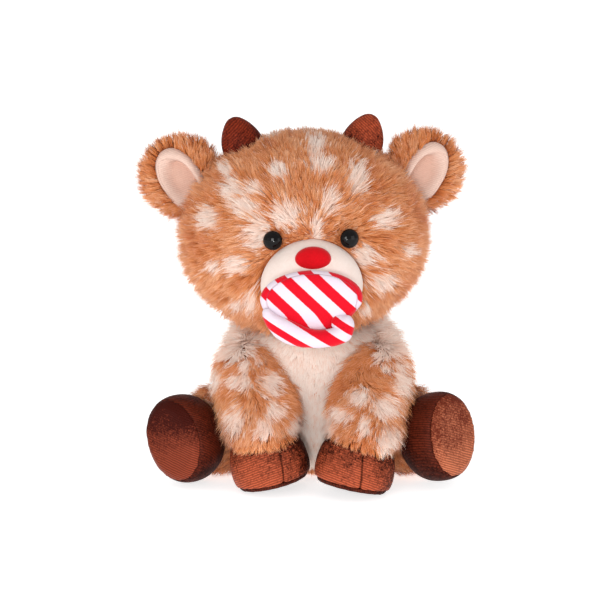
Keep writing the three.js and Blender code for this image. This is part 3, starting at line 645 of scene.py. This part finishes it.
def makeBackingFinish():
    finish = Finish("backing", Roughness=0.9, Specular_IOR_Level=0.1)
    cream = finish.node("Attribute", {"attribute_name": "cream"}, None, "Fac")
    patch = finish.noise(5.0, 3.0)
    # The backing is coloured darker than the hair tips: partly its own colour, partly painted shade between the hairs.
    ginger = finish.mix(patch.between(0.3, 0.7), linear(158, 82, 42), linear(190, 108, 62))
    pale = finish.mix(patch.between(0.3, 0.7), linear(226, 198, 182), linear(240, 220, 208))
    finish.feed("Base Color", finish.mix(cream, ginger, pale))
    finish.feed("Normal", finish.bump(finish.noise(1.2, 2.0), 0.4))
    return finish


def makeVelvet(name, ribs, dark, light, paintedLightFrom, centre, seams=(), pitch=1.6):
    finish = Finish(
        name, Roughness=0.45, Specular_IOR_Level=0.05, Sheen_Weight=0.05, Sheen_Roughness=0.3,
        Sheen_Tint=linear(220, 100, 60),
    )
    wander = finish.noise(9.0, 2.0, seed=1.0)
    rib = (finish.along(ribs) * (2 * math.pi / (pitch * mm)) + wander * 5.0).math("SINE") * 0.5 + 0.5
    # A painted pool of light fades over 60 mm along the given direction from the centre, and the finest specks are
    # painted glints; added to the crushed pattern of the pile, they set where the velvet is painted lighter, and its
    # ribs show most there.
    crush = finish.noise(16.0, 4.0, seed=2.0) * 0.6 + finish.noise(2.6, 2.0, seed=3.0) * 0.35
    paintedLightPool = (finish.along(paintedLightFrom) - Vector(paintedLightFrom).dot(Vector(centre) * mm)) / (60 * mm)
    crushAndPaintedLight = (crush + paintedLightPool + (finish.noise(1.1, 1.0, seed=6.0) - 0.5) * 0.8).between(0.29, 0.66)
    base = finish.mix(crushAndPaintedLight, linear(*dark), linear(*light))
    shown = finish.mix(rib * (0.35 + crushAndPaintedLight * 0.35), base, linear(*[0.36 * c for c in light]))
    height = rib + crush * 1.5
    for where, across in seams:
        off = (finish.along(across) - Vector(across).dot(Vector(where)) * mm).math("ABSOLUTE")
        line = 1.0 - off.between(0.2 * mm, 0.9 * mm)
        shown = finish.mix(line * 0.75, shown, linear(30, 6, 3))
        height = height - line * 2.0
    finish.feed("Base Color", shown)
    finish.feed("Roughness", 0.58 - crushAndPaintedLight * 0.16)
    finish.feed("Normal", finish.bump(height, 0.16))
    return finish


def makeVelour(name, colour, shade, bumpDepth=0.12, ribs=None):
    finish = Finish(name, Roughness=0.85, Specular_IOR_Level=0.15, Sheen_Weight=0.25, Sheen_Roughness=0.4)
    patch = finish.noise(16.0, 3.0, seed=4.0) * 0.6 + finish.noise(1.4, 2.0, seed=5.0) * 0.4
    nap = finish.noise(0.9, 2.0)
    if ribs is not None:
        wale = (finish.along(ribs) * (2 * math.pi / (1.3 * mm)) + finish.noise(8.0) * 4.0).math("SINE") * 0.5 + 0.5
        patch = patch * 0.75 + wale * 0.25
        nap = nap + wale
    finish.feed("Base Color", finish.mix(patch.between(0.3, 0.7), linear(*shade), linear(*colour)))
    finish.feed("Normal", finish.bump(nap, bumpDepth))
    return finish


furFinish = makeFurFinish()
backingFinish = makeBackingFinish()
print("finishes ready")

# Head, torso and limbs: cloth backing first, then the fur

def paintCream(piece, extra=None):
    places = np.array([v.co for v in piece.data.vertices]) / mm
    cream = spotShare(places)
    if extra:
        cream = np.maximum(cream, extra(places))
    layer = piece.data.attributes.new("cream", "FLOAT", "POINT")
    layer.data.foreach_set("value", cream)


headBase = roundForm("head_backing", headForm, -7.2, 96, 64)
torsoBase = roundForm("torso_backing", torsoForm, -6.5, 96, 64)
addHiddenSpots(headBase, 24, 5)
addHiddenSpots(torsoBase, 24, 6)


def shoulderCream(points):
    high = ease(points[:, 2] + 5 * waves(points, 12.0, 31), 84, 93)
    return high * ease(np.abs(points[:, 0]) + 4 * waves(points, 10.0, 32), 38, 50) * (points[:, 1] > -62)


def bibCream(points):
    low = ease(points[:, 2], 10, 30)
    half = 20 + 24 * ease(points[:, 2], 16, 100)
    return ease(half - np.abs(points[:, 0]), -4, 4) * low * (points[:, 1] < 0)


def thighCream(points):
    return 0.25 * ease(points[:, 2], 30, 62)


for base, nodes, body in (
    (headBase, ("head_skin", "head_filling"), "head"),
    (torsoBase, ("torso_skin", "torso_filling"), "torso"),
):
    softShade(base)
    paintCream(base, bibCream if body == "torso" else None)
    dress(base, backingFinish, body, nodes)

legBases, hindBases, earBases = {}, {}, {}
hoofForms = {"front_leg": frontHoofForms, "hind_leg": hindHoofForms}
for side, sign, index in sides:
    for kind, store, inset in (("front_leg", legBases, 5.5), ("hind_leg", hindBases, 5.5), ("ear", earBases, 3.4)):
        piece = copyNode(f"{kind}_{side}_backing", f"{kind}_{side}")
        remesh(piece, 2.2, 10, -inset)
        if kind in hoofForms:
            places = placesOf(piece.data)
            atHoof = 1 - ease(formShare(hoofForms[kind][side], places, 1.0), 1.0, 1.35)
            middle = places.mean(0)
            setPlaces(piece.data, places + (middle - places) * 0.3 * atHoof[:, None])
        softShade(piece)
        paintCream(piece, {"front_leg": shoulderCream, "hind_leg": thighCream}.get(kind))
        dress(piece, backingFinish, f"{kind}_{side}", (f"{kind}_{side}",))
        store[side] = piece
tailBase = copyNode("tail_backing", "tail")
remesh(tailBase, 2.0, 6, -4.0)
softShade(tailBase)
paintCream(tailBase)
dress(tailBase, backingFinish, "torso", ("tail",))
print("backings ready")

longFur = {
    "perMm2": 2.6, "length": 15.5, "width": 0.31, "lift": (58, 36, 18), "swirl": 22, "perTuft": 17,
    "ruffle": 8, "tuftTurn": 14, "tuftLift": 7, "uneven": 0.32, "stray": 14, "follow": 0.58, "pinch": 0.5,
    "twist": 25, "softness": 0.8, "guards": 0.22,
}
bridge = np.array([-1.0, -86.0, 186.0])
eyePlaces = [np.array((eyeSeats[side] @ Vector((0, 0, 3)))) for side, _, _ in sides]


def combHead(roots, normals):
    radial = unit(roots - bridge)
    behind = ease(normals[:, 1], -0.1, 0.9)[:, None]
    flow = radial * (1 - behind) + np.array([0, 0.1, -1.0]) * behind + np.array([0, 0, -0.18])
    for place in eyePlaces:
        away = roots - place
        near = np.exp(-((np.linalg.norm(away, axis=1) / 11) ** 2))[:, None]
        flow = flow + unit(away) * near * 1.6
    return flow


def headLength(roots):
    muzzleGap = (formShare(muzzleForm, roots) - 1) * 35
    share = 0.36 + 0.64 * ease(np.minimum(muzzleGap, 40), 0, 26)
    share = np.maximum(share, ease(np.linalg.norm(roots - bridge, axis=1), 18, 50))
    share = share * (1 - 0.38 * ease(roots[:, 2], 212, 246))
    for place in eyePlaces:
        share = share * (0.38 + 0.62 * ease(np.linalg.norm(roots - place, axis=1), 8, 24))
    return share


def dropHead(roots):
    gone = (formShare(muzzleForm, roots) < 1) | (formShare(torsoForm, roots, -5) < 1)
    for side, _, _ in sides:
        gone |= formShare(hornForms[side], roots, -1.5) < 1
        gone |= formShare(earForms[side], roots, -3) < 1
    for place in eyePlaces:
        gone |= np.linalg.norm(roots - place, axis=1) < 7.6
    return gone


headAround = [(hornForms[s], 0.4) for s, _, _ in sides] + [(muzzleForm, 0.3)]
growFur("head_fur", "head", headBase, longFur, combHead, dropHead, 21, headLength, None, headAround)


def frontLegComb(side):
    form = frontLegForms[side]
    heading = form["axes"][2]

    def comb(roots, normals):
        off = roots - form["start"]
        aside = (off - (off @ heading)[:, None] * heading)[:, 0] / form["half"][0]
        outward = np.stack([aside, 0.35 * np.abs(aside), np.full(len(roots), -0.3)], 1)
        return heading * 0.8 + outward

    return comb


def armDrop(side, sign):
    def drop(roots):
        gone = formShare(torsoForm, roots, -7) < 1
        gone |= formShare(frontHoofForms[side], roots, -1) < 1
        gone |= formShare(headForm, roots, -2) < 1
        return gone | (roots[:, 0] * sign < 0.5)

    return drop


armFur = {
    **longFur, "length": 13.0, "lift": (34, 17, 7), "swirl": 26, "ruffle": 6, "softness": 0.95,
    "riseAt": lambda roots: -10 * ease(roots[:, 2], 72, 92),
    "bend": lambda roots: np.array([0, -1.6, 0]) * ease(roots[:, 2], 50, 80)[:, None],
}


def armLength(side):
    def share(roots):
        gap = (formShare(frontHoofForms[side], roots) - 1) * 28
        return (0.62 + 0.38 * ease(np.minimum(gap, 40), 2, 18)) * (1 + 0.45 * ease(roots[:, 2], 82, 100))

    return share
for side, sign, index in sides:
    source = roundForm("arm_source", frontLegForms[side], -5.5, 64, 40)
    growFur(
        f"front_leg_{side}_fur", f"front_leg_{side}", source, armFur, frontLegComb(side),
        armDrop(side, sign), 41 + index, armLength(side), shoulderCream, [(frontHoofForms[side], 0.4)],
    )
    bpy.data.objects.remove(source)

hindFur = {
    **longFur, "length": 12.0, "perMm2": 2.2, "lift": (36, 19, 9), "ruffle": 5, "softness": 0.95,
    "bend": lambda roots: np.array([0, -0.8, 0]) * ease(roots[:, 2], 30, 60)[:, None],
}
for side, sign, index in sides:
    form = hindLegForms[side]
    toHoof = np.array(form["seat"].to_3x3() @ Vector((0, -1, 0)))

    def combHind(roots, normals, toHoof=toHoof):
        return toHoof * 0.9 + np.array([0, 0, -0.4])

    def dropHind(roots, side=side):
        gone = formShare(torsoForm, roots, -7) < 1
        gone |= formShare(hindHoofForms[side], roots, -1) < 1
        return gone | (roots[:, 2] < 3)

    growFur(
        f"hind_leg_{side}_fur", f"hind_leg_{side}", hindBases[side], hindFur, combHind,
        dropHind, 51 + index, None, thighCream, [(hindHoofForms[side], 0.4), (frontHoofForms[side], 0.4)],
    )


def combTorso(roots, normals):
    aside = 1.1 * np.sign(roots[:, 0]) * ease(roots[:, 2], 74, 94) * ease(np.abs(roots[:, 0]), 12, 34)
    return np.stack([aside, np.zeros(len(roots)), -np.ones(len(roots))], 1)


def inBib(roots):
    half = 18 + 24 * ease(roots[:, 2], 16, 100)
    return (np.abs(roots[:, 0]) < half) & (roots[:, 1] < -10) & (roots[:, 2] > 12)


def dropTorso(roots):
    gone = (formShare(headForm, roots, -1) < 1) | (roots[:, 2] < 4) | inBib(roots)
    for side, _, _ in sides:
        gone |= formShare(frontLegForms[side], roots, -4) < 1
        gone |= formShare(hindLegForms[side], roots, -4) < 1
    return gone


def torsoLength(roots):
    return 1 + 0.45 * ease(roots[:, 2], 76, 98)


torsoFur = {
    **longFur, "length": 13.5, "perMm2": 1.9, "lift": (44, 26, 12),
    "riseAt": lambda roots: 16 * ease(roots[:, 2], 76, 96) * ease(np.abs(roots[:, 0]), 34, 50),
    "bend": lambda roots: 2.6 * unit(roots * (0.5, 1, 0) - (0, 34, 0)) * ease(roots[:, 2], 66, 86)[:, None],
}
growFur(
    "torso_fur", "torso", torsoBase, torsoFur, combTorso, dropTorso, 61, torsoLength, shoulderCream,
)


def dropBib(roots):
    return ~inBib(roots) | (formShare(headForm, roots, -1) < 1)


def combBib(roots, normals):
    return np.stack([roots[:, 0] * 0.012, np.zeros(len(roots)), -np.ones(len(roots))], 1)


# The bib's hairs sit whiter on the palette: partly its own whiter cream, partly painted light against the shade under
# the head.
bibFur = {
    **longFur, "length": 6.5, "perMm2": 3.6, "width": 0.34, "whiter": 0.1, "lift": (44, 24, 10), "swirl": 7, "ruffle": 3,
    "tuftTurn": 6, "tuftLift": 3, "uneven": 0.1, "perTuft": 16, "pinch": 0.3, "softness": 0.92, "guards": 0.0,
}
bibSource = roundForm("bib_source", torsoForm, -3.2, 96, 64)
growFur("chest_fur", "torso", bibSource, bibFur, combBib, dropBib, 62, None, lambda p: np.ones(len(p)))
bpy.data.objects.remove(bibSource)
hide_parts("chest_panel")


def tailComb(roots, normals):
    return np.tile([0, 0.5, 0.9], (len(roots), 1))


growFur("tail_fur", "torso", tailBase, {**longFur, "length": 11}, tailComb,
        lambda roots: formShare(torsoForm, roots, -3) < 1, 63)

lining = {"halfWidth": 15.5, "halfHeight": 25.0, "middle": 15.0, "cup": 6.4}
for side, sign, index in sides:
    seat = earSeats[side]
    away = seat.inverted()

    def local(points, away=away):
        return turnPoints(away, points)

    def combEar(roots, normals, seat=seat, local=local):
        at = local(roots)
        flat = np.stack([at[:, 0] * 1.1, np.zeros(len(at)), at[:, 2] + 10], 1)
        return flat @ np.array(seat.to_3x3()).T

    def dropEar(roots, local=local):
        at = local(roots)
        oval = np.hypot(at[:, 0] / (lining["halfWidth"] - 1.5), (at[:, 2] - lining["middle"]) / (lining["halfHeight"] - 1.5))
        return ((oval < 1) & (at[:, 1] < 0)) | (formShare(headForm, roots, -4) < 1)

    earFur = {**longFur, "length": 11.5, "lift": (64, 42, 26)}
    source = roundForm("ear_source", earForms[side], -3.4, 64, 40)
    growFur(f"ear_{side}_fur", f"ear_{side}", source, earFur, combEar, dropEar, 71 + index)
    bpy.data.objects.remove(source)
print("fur ready")

# Velvet hooves and horns
darkVelvet, lightVelvet = (46, 10, 4), (194, 92, 60)
hoofSeams = {"left": -77.0, "right": -97.0}


def velvetPiece(piece, finish, body, node):
    dress(piece, finish, body, (node,))


for side, sign, index in sides:
    form = frontHoofForms[side]
    seat = form["seat"]
    turned = seat.to_3x3()
    up = turned @ Vector((0, 0, 1))
    inner = ((0.4 * sign, 0, 0), (-sign, 0, 0))
    ground = ((0, 0, 0.05), (0, 0, -1))
    cut = seat @ Vector((0, 0, 3.6))
    upper = roundForm(f"front_hoof_{side}_velvet", form, -0.5, 96, 64, [(cut, -up), inner, ground])
    sole = roundForm(
        f"front_sole_{side}_velvet", form, -1.6, 96, 64,
        [(seat @ Vector((0, 0, 0.2)), -up), (seat @ Vector((0, 0, 3.8)), up), inner, ground],
    )
    inflate(upper, 1.3, 1.4, near(cut, up, 1.5))
    inflate(sole, 1.5, 0.5, near(seat @ Vector((0, 0, 2.4)), up, 2.4))
    angle = math.radians(hoofSeams[side])
    outward = turned @ Vector((math.cos(angle), math.sin(angle), 0))
    seamAcross = turned @ Vector((-math.sin(angle), math.cos(angle), 0.12 * sign))
    centre = seat @ Vector((0, 6, 20))
    sew(upper, centre, seamAcross, outward, 1.3, 2.4)
    velvet = makeVelvet(
        f"front_hoof_{side}", (0.35 * sign, 0.2, 0.9), darkVelvet, lightVelvet, (-0.2, -0.5, -0.5),
        seat @ Vector((0, -20, 20)), [(centre, seamAcross)],
    )
    # The sole faces down and gets a darker copy of the velvet: painted shade under the hoof.
    under = makeVelvet(
        f"front_sole_{side}", (0.9, 0.3, 0.1), (44, 10, 5), (104, 44, 28), (0, -0.6, 0.2), seat @ Vector((0, -20, 0))
    )
    velvetPiece(upper, velvet, f"front_leg_{side}", f"front_hoof_{side}")
    velvetPiece(sole, under, f"front_leg_{side}", f"front_sole_{side}")

    form = hindHoofForms[side]
    seat = form["seat"]
    turned = seat.to_3x3()
    out = turned @ Vector((0, -1, 0))
    padFace = 46 * (0.4 - 1)
    cut = seat @ Vector((0, padFace + 4.4, 0))
    upper = roundForm(f"hind_hoof_{side}_velvet", form, -0.5, 96, 64, [(cut, out), ground])
    sole = roundForm(
        f"hind_sole_{side}_velvet", form, -0.5, 96, 64,
        [(seat @ Vector((0, padFace + 0.6, 0)), out), (seat @ Vector((0, padFace + 4.6, 0)), -out), ground],
    )
    inflate(upper, 1.7, 1.4, near(cut, out, 1.5))
    rim = seat @ Vector((0, padFace + 4.6, 0))
    inflate(sole, 1.4, 1.2, near(rim, out, 1.2))
    middle = seat @ Vector((0, padFace, 0))
    # The hoof's side behind the pad gets a darker copy of the velvet: painted shade.
    velvet = makeVelvet(f"hind_hoof_{side}", (0.2, 0.5, 0.8), (38, 8, 4), (104, 40, 24), (0, -0.5, 0.3), middle)
    # Each pad gets its own painted-light direction, and the right pad is painted lighter than the left: painted light
    # from the right.
    pad = makeVelvet(
        f"hind_sole_{side}", (0.35, 0.1, 0.9), ((60, 14, 7), (104, 38, 22))[index], ((146, 64, 42), (204, 116, 82))[index],
        ((0.1, -0.2, -0.9), (0.3, -0.2, -0.3))[index], middle,
    )
    velvetPiece(upper, velvet, f"hind_leg_{side}", f"hind_hoof_{side}")
    velvetPiece(sole, pad, f"hind_leg_{side}", f"hind_sole_{side}")

    form = hornForms[side]
    piece = roundForm(f"horn_{side}_velvet", form, -0.6, 48, 32)
    base = form["seat"] @ Vector((0, 0, -10))
    axis = form["seat"].to_3x3() @ Vector((0, 0, 1))
    inflate(piece, 1.6, 1.2, lambda places, base=base, axis=axis: (places - np.array(base)) @ np.array(axis) < 0)
    # The right horn is painted lighter than the left: painted light from the right.
    finish = makeVelvet(
        f"horn_{side}", (0.7, 0.1, 0.7 * sign), (58, 13, 6), ((142, 50, 28), (184, 80, 50))[index],
        (0.3 * sign, -0.3, 0.5), form["seat"] @ Vector((0, -8, 6)), (), 1.7,
    )
    velvetPiece(piece, finish, "head", f"horn_{side}")
print("velvet ready")

# Face
muzzleBack = headSeat @ (muzzleCentre + Vector((0, 14, 0)))
muzzlePiece = roundForm("muzzle_velour", muzzleForm, -0.6, 96, 64)
inflate(muzzlePiece, 2.2, 1.2, lambda places: places[:, 1] > muzzleBack.y)
dress(muzzlePiece, makeVelour("muzzle", (234, 219, 211), (224, 204, 193)), "head", ("muzzle",))
nosePiece = roundForm("nose_velour", noseForm, -0.4, 64, 40)
noseBack = noseSeat @ Vector((0, 3, 0))
inflate(nosePiece, 1.0, 0.8, lambda places: places[:, 1] > noseBack.y)
dress(nosePiece, makeVelour("nose", (204, 0, 18), (180, 0, 12)), "head", ("nose",))

eyeFinish = Finish("eye", Roughness=0.1, Specular_IOR_Level=0.2)
eyeFinish.feed("Base Color", eyeFinish.mix(eyeFinish.noise(3.0).between(0.4, 0.6), linear(4, 2, 2), linear(10, 6, 5)))
for side, sign, index in sides:
    bm = bmesh.new()
    bmesh.ops.create_uvsphere(bm, u_segments=48, v_segments=32, radius=1)
    for vert in bm.verts:
        x, y, z = vert.co
        vert.co = (eyeSeats[side] @ Vector((7 * x, 7 * y, 1.6 + (4.8 if z > 0 else 1.6) * z))) * mm
    mesh = bpy.data.meshes.new("eye")
    bm.to_mesh(mesh)
    bm.free()
    piece = link(f"eye_{side}_dome", mesh)
    softShade(piece)
    dress(piece, eyeFinish, "head", (f"eye_{side}",))


# Ear lining: a sunk dish whose rim is rolled over, widest on the side nearer the head
def liningPiece(side, sign):
    half, tall, middle, cup = lining["halfWidth"], lining["halfHeight"], lining["middle"], lining["cup"]
    bm = bmesh.new()
    bmesh.ops.create_uvsphere(bm, u_segments=128, v_segments=96, radius=1)
    ball = np.array([v.co for v in bm.verts])
    x, z = ball[:, 0], ball[:, 2]
    r = np.minimum(np.hypot(x, z), 1.0)
    square = np.where(z < 0, 3.2, 2.15)
    stretch = r / np.maximum((np.abs(x) ** square + np.abs(z) ** square) ** (1 / square), 1e-6)
    wide, high = half * x * stretch, middle + tall * z * stretch
    t = (high + 14) / 58
    swell, share = swellAt(2.2, np.clip(t, 0.02, 0.98)), shareAt(np.array([0.86, 0.96, 1.02, 1.02, 0.98]), t)
    front = -9.5 * share * np.sqrt(np.maximum(0.12, swell**2 - (wide / (28 * share)) ** 2))
    inward = ease(-sign * x / np.maximum(r, 0.2) + 0.25 * z, -0.5, 0.7)
    rollWidth = 0.13 + 0.27 * inward
    q = np.clip((1 - r) / rollWidth, 0, 1)
    roll = (1.0 + 2.6 * inward) * np.sqrt(np.maximum(0, 1 - (2 * q - 1) ** 2))
    sunk = cup * ease(1 - r - 0.8 * rollWidth, 0, 0.62 - 0.5 * inward)
    facing = front + sunk - roll + 0.4
    backing = front + sunk + 1.3 + 1.6 * ease(r, 0.6, 0.95)
    closing = np.sqrt(np.maximum(0, 1 - r**10))
    mid = (facing + backing) / 2
    depth = mid + np.where(ball[:, 1] < 0, facing - mid, backing - mid) * closing
    for vert, place in zip(bm.verts, turnPoints(earSeats[side], np.stack([wide, depth, high], 1))):
        vert.co = place * mm
    bmesh.ops.recalc_face_normals(bm, faces=bm.faces[:])
    mesh = bpy.data.meshes.new("lining")
    bm.to_mesh(mesh)
    bm.free()
    # How deep the dish sinks is kept to paint shade in the hollow.
    mesh.attributes.new("sunk", "FLOAT", "POINT").data.foreach_set("value", sunk / cup)
    return link(f"ear_lining_{side}_velour", mesh)


for side, sign, index in sides:
    piece = liningPiece(side, sign)
    softShade(piece)
    along = earSeats[side].to_3x3() @ Vector((0.8, 0, 0.6 * -sign))
    finish = makeVelour(f"ear_lining_{side}", (224, 194, 179), (206, 172, 157), ribs=along)
    # Deeper in the cup the lining is painted darker: painted shade in the hollow.
    sunk = finish.node("Attribute", {"attribute_name": "sunk"}, None, "Fac").between(0.3, 1.0)
    plain = Wire(finish.tree, finish.shader.inputs["Base Color"].links[0].from_socket)
    finish.feed("Base Color", finish.mix(sunk * 0.6, plain, linear(196, 148, 128)))
    dress(piece, finish, f"ear_{side}", (f"ear_lining_{side}",))

# Pacifier
stripes = {"pitch": 14.8, "angle": 44.0, "shift": 0.135, "rimShare": 0.86, "rimShift": 0.14}
handle = {
    "route": ((-0.84, -0.5), (-0.5, -0.98), (-0.1, -1.28), (0.3, -1.32), (0.63, -1.1), (0.84, -0.72), (0.72, -0.3)),
    "shown": (
        (-33.0, -5.0), (-29.3, -12.0), (-21.1, -19.6), (-10.5, -25.0), (2.1, -27.6), (13.4, -27.0), (21.6, -23.6),
        (23.4, -17.4), (13.6, -16.2),
    ),
    "swell": (0.6, 0.9, 1.15, 1.1, 0.95, 0.9, 0.95, 1.0, 0.9),
    "angle": 33.0, "edges": (-38.0, -33.0, -28.0, -20.6, -12.6, -6.4, -0.8, 5.0),
}


def paintStripes(piece, phase, rim):
    for name, values in (("phase", phase), ("rim", rim)):
        piece.data.attributes.new(name, "FLOAT", "POINT").data.foreach_set("value", values)


def makeStripes():
    finish = Finish("stripes", Roughness=0.8, Specular_IOR_Level=0.15, Sheen_Weight=0.2, Sheen_Roughness=0.4)
    phase = finish.node("Attribute", {"attribute_name": "phase"}, None, "Fac")
    rim = finish.node("Attribute", {"attribute_name": "rim"}, None, "Fac")
    onRim = rim.between(stripes["rimShare"], stripes["rimShare"] + 0.004)
    wobble = (finish.noise(1.6, 2.0) - 0.5) * 0.035
    band = ((phase + onRim * stripes["rimShift"] + wobble).math("FRACT") - 0.5).math("ABSOLUTE")
    red = band.between(0.238, 0.262)
    patch = finish.noise(1.0, 2.0)
    redColour = finish.mix(patch, linear(196, 0, 22), linear(222, 6, 36))
    whiteColour = finish.mix(patch, linear(214, 200, 212), linear(224, 211, 222))
    seam = 1.0 - (rim - stripes["rimShare"]).math("ABSOLUTE").between(0.0, 0.02)
    base = finish.mix(red, whiteColour, redColour)
    finish.feed("Base Color", finish.mix(seam * 0.35, base, linear(150, 60, 80)))
    finish.feed("Normal", finish.bump(finish.noise(0.8, 2.0) - seam * 2.0, 0.2))
    return finish


stripeFinish = makeStripes()
shieldPiece = roundForm("pacifier_shield_velour", shieldForm, -0.4, 96, 48)
shieldBack = pacifierSeat @ Vector((0, 5, 0))
inflate(shieldPiece, 1.6, 0.8, lambda places: places[:, 1] > shieldBack.y)
slope = math.radians(stripes["angle"])
local = turnPoints(pacifierSeat.inverted(), placesOf(shieldPiece.data))
phase = (local[:, 0] * math.sin(slope) + local[:, 2] * math.cos(slope)) / stripes["pitch"] + stripes["shift"]
rim = np.hypot(local[:, 0] / 37.2, local[:, 2] / 21.2) + 0.12 * ease(local[:, 1], -3, 2)
paintStripes(shieldPiece, phase, rim * (0.8 + 0.2 * ease(local[:, 2], -14, -4)))
local[:, 2] -= 4.5 * ease(-local[:, 2], 8, 20)
setPlaces(shieldPiece.data, turnPoints(pacifierSeat, local))
dress(shieldPiece, stripeFinish, "pacifier", ("pacifier_shield",))

handlePiece = copyNode("pacifier_handle_velour", "pacifier_handle")
handleBack = pacifierSeat @ Vector((0, -3, 0))
inflate(handlePiece, 1.3, 0.6, lambda places: places[:, 1] > handleBack.y)


# A smooth line through points, with its heading and how far along it each place is
def routeOf(points):
    line = np.stack([shareAt(points[:, k], np.linspace(0, 1, 240)) for k in (0, 1)], 1)
    reach = np.concatenate(([0.0], np.cumsum(np.linalg.norm(np.diff(line, axis=0), axis=1))))
    return line, unit(np.gradient(line, axis=0)), reach / reach[-1]


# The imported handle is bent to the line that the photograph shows
line, heading, reach = routeOf(np.array(handle["route"]) * (37.2, 21.2))
shown, shownHeading, shownReach = routeOf(np.array(handle["shown"]))
local = turnPoints(pacifierSeat.inverted(), placesOf(handlePiece.data))
closest = np.argmin(((local[:, None, ::2] - line[None]) ** 2).sum(2), axis=1)
off = local[:, ::2] - line[closest]
forward = (off * heading[closest]).sum(1)
inside = heading[closest, 0] * off[:, 1] - heading[closest, 1] * off[:, 0]
goal = np.minimum(np.searchsorted(shownReach, reach[closest]), len(shown) - 1)
across = np.stack([-shownHeading[goal, 1], shownHeading[goal, 0]], 1)
swell = shareAt(np.array(handle["swell"]), reach[closest])
local[:, ::2] = shown[goal] + shownHeading[goal] * forward[:, None] + across * (inside * swell)[:, None]
setPlaces(handlePiece.data, turnPoints(pacifierSeat, local))
slope = math.radians(handle["angle"])
level = local[:, 0] * math.sin(slope) + local[:, 2] * math.cos(slope)
phase = np.interp(level, handle["edges"], np.arange(len(handle["edges"])) * 0.5 - 0.75)
paintStripes(handlePiece, phase, np.zeros(len(local)))
dress(handlePiece, stripeFinish, "pacifier", ("pacifier_handle",))
print("face ready")

# What is inside keeps its solid
metal = Finish("magnet_plate", Metallic=1.0, Roughness=0.3)
metal.feed("Base Color", metal.mix(metal.noise(2.0), linear(170, 172, 176), linear(198, 200, 204)))
washerFinish = Finish("washer_plastic", Roughness=0.5)
washerFinish.feed("Base Color", washerFinish.mix(washerFinish.noise(3.0), linear(226, 222, 212), linear(238, 236, 230)))
for node in ("muzzle_magnet", "pacifier_magnet", "eye_washer_left", "eye_washer_right"):
    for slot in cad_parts[node].material_slots:
        slot.material = (metal if "magnet" in node else washerFinish).material

# Studio
light = {"world": 0.67, "floor": 0.7}
bm = bmesh.new()
bmesh.ops.create_grid(bm, x_segments=1, y_segments=1, size=30.0)
mesh = bpy.data.meshes.new("floor")
bm.to_mesh(mesh)
bm.free()
floor = link("floor", mesh)
floorFinish = Finish("floor", Roughness=0.9, Specular_IOR_Level=0.0)
floorFinish.feed("Base Color", linear(235, 235, 235))
floorFinish.feed("Emission_Color", (1, 1, 1, 1))
floorFinish.feed("Emission_Strength", light["floor"])
floor.data.materials.append(floorFinish.material)

world = bpy.data.worlds.new("studio")
bpy.context.scene.world = world
world.use_nodes = True
world.node_tree.nodes["Background"].inputs[0].default_value = (1, 1, 1, 1)
world.node_tree.nodes["Background"].inputs[1].default_value = light["world"]
bpy.context.scene.view_settings.view_transform = "Standard"


def addLight(name, where, towards, size, power):
    data = bpy.data.lights.new(name, "AREA")
    data.shape, data.size, data.energy = "SQUARE", size, power
    lamp = bpy.data.objects.new(name, data)
    lamp.location = where
    aim = Vector(towards) - Vector(where)
    lamp.rotation_mode = "QUATERNION"
    lamp.rotation_quaternion = aim.to_track_quat("-Z", "Y")
    bpy.context.scene.collection.objects.link(lamp)


addLight("key", (-0.45, -1.75, 0.5), (0, 0, 0.07), 0.6, 10.5)
addLight("low", (-0.1, -1.7, 0.07), (0, 0, 0.12), 0.12, 4)
addLight("softLeft", (-1.5, -1.3, 0.4), (0, 0, 0.08), 1.0, 1)
addLight("softRight", (1.5, -1.3, 0.4), (0, 0, 0.08), 1.0, 5)
print("studio ready")
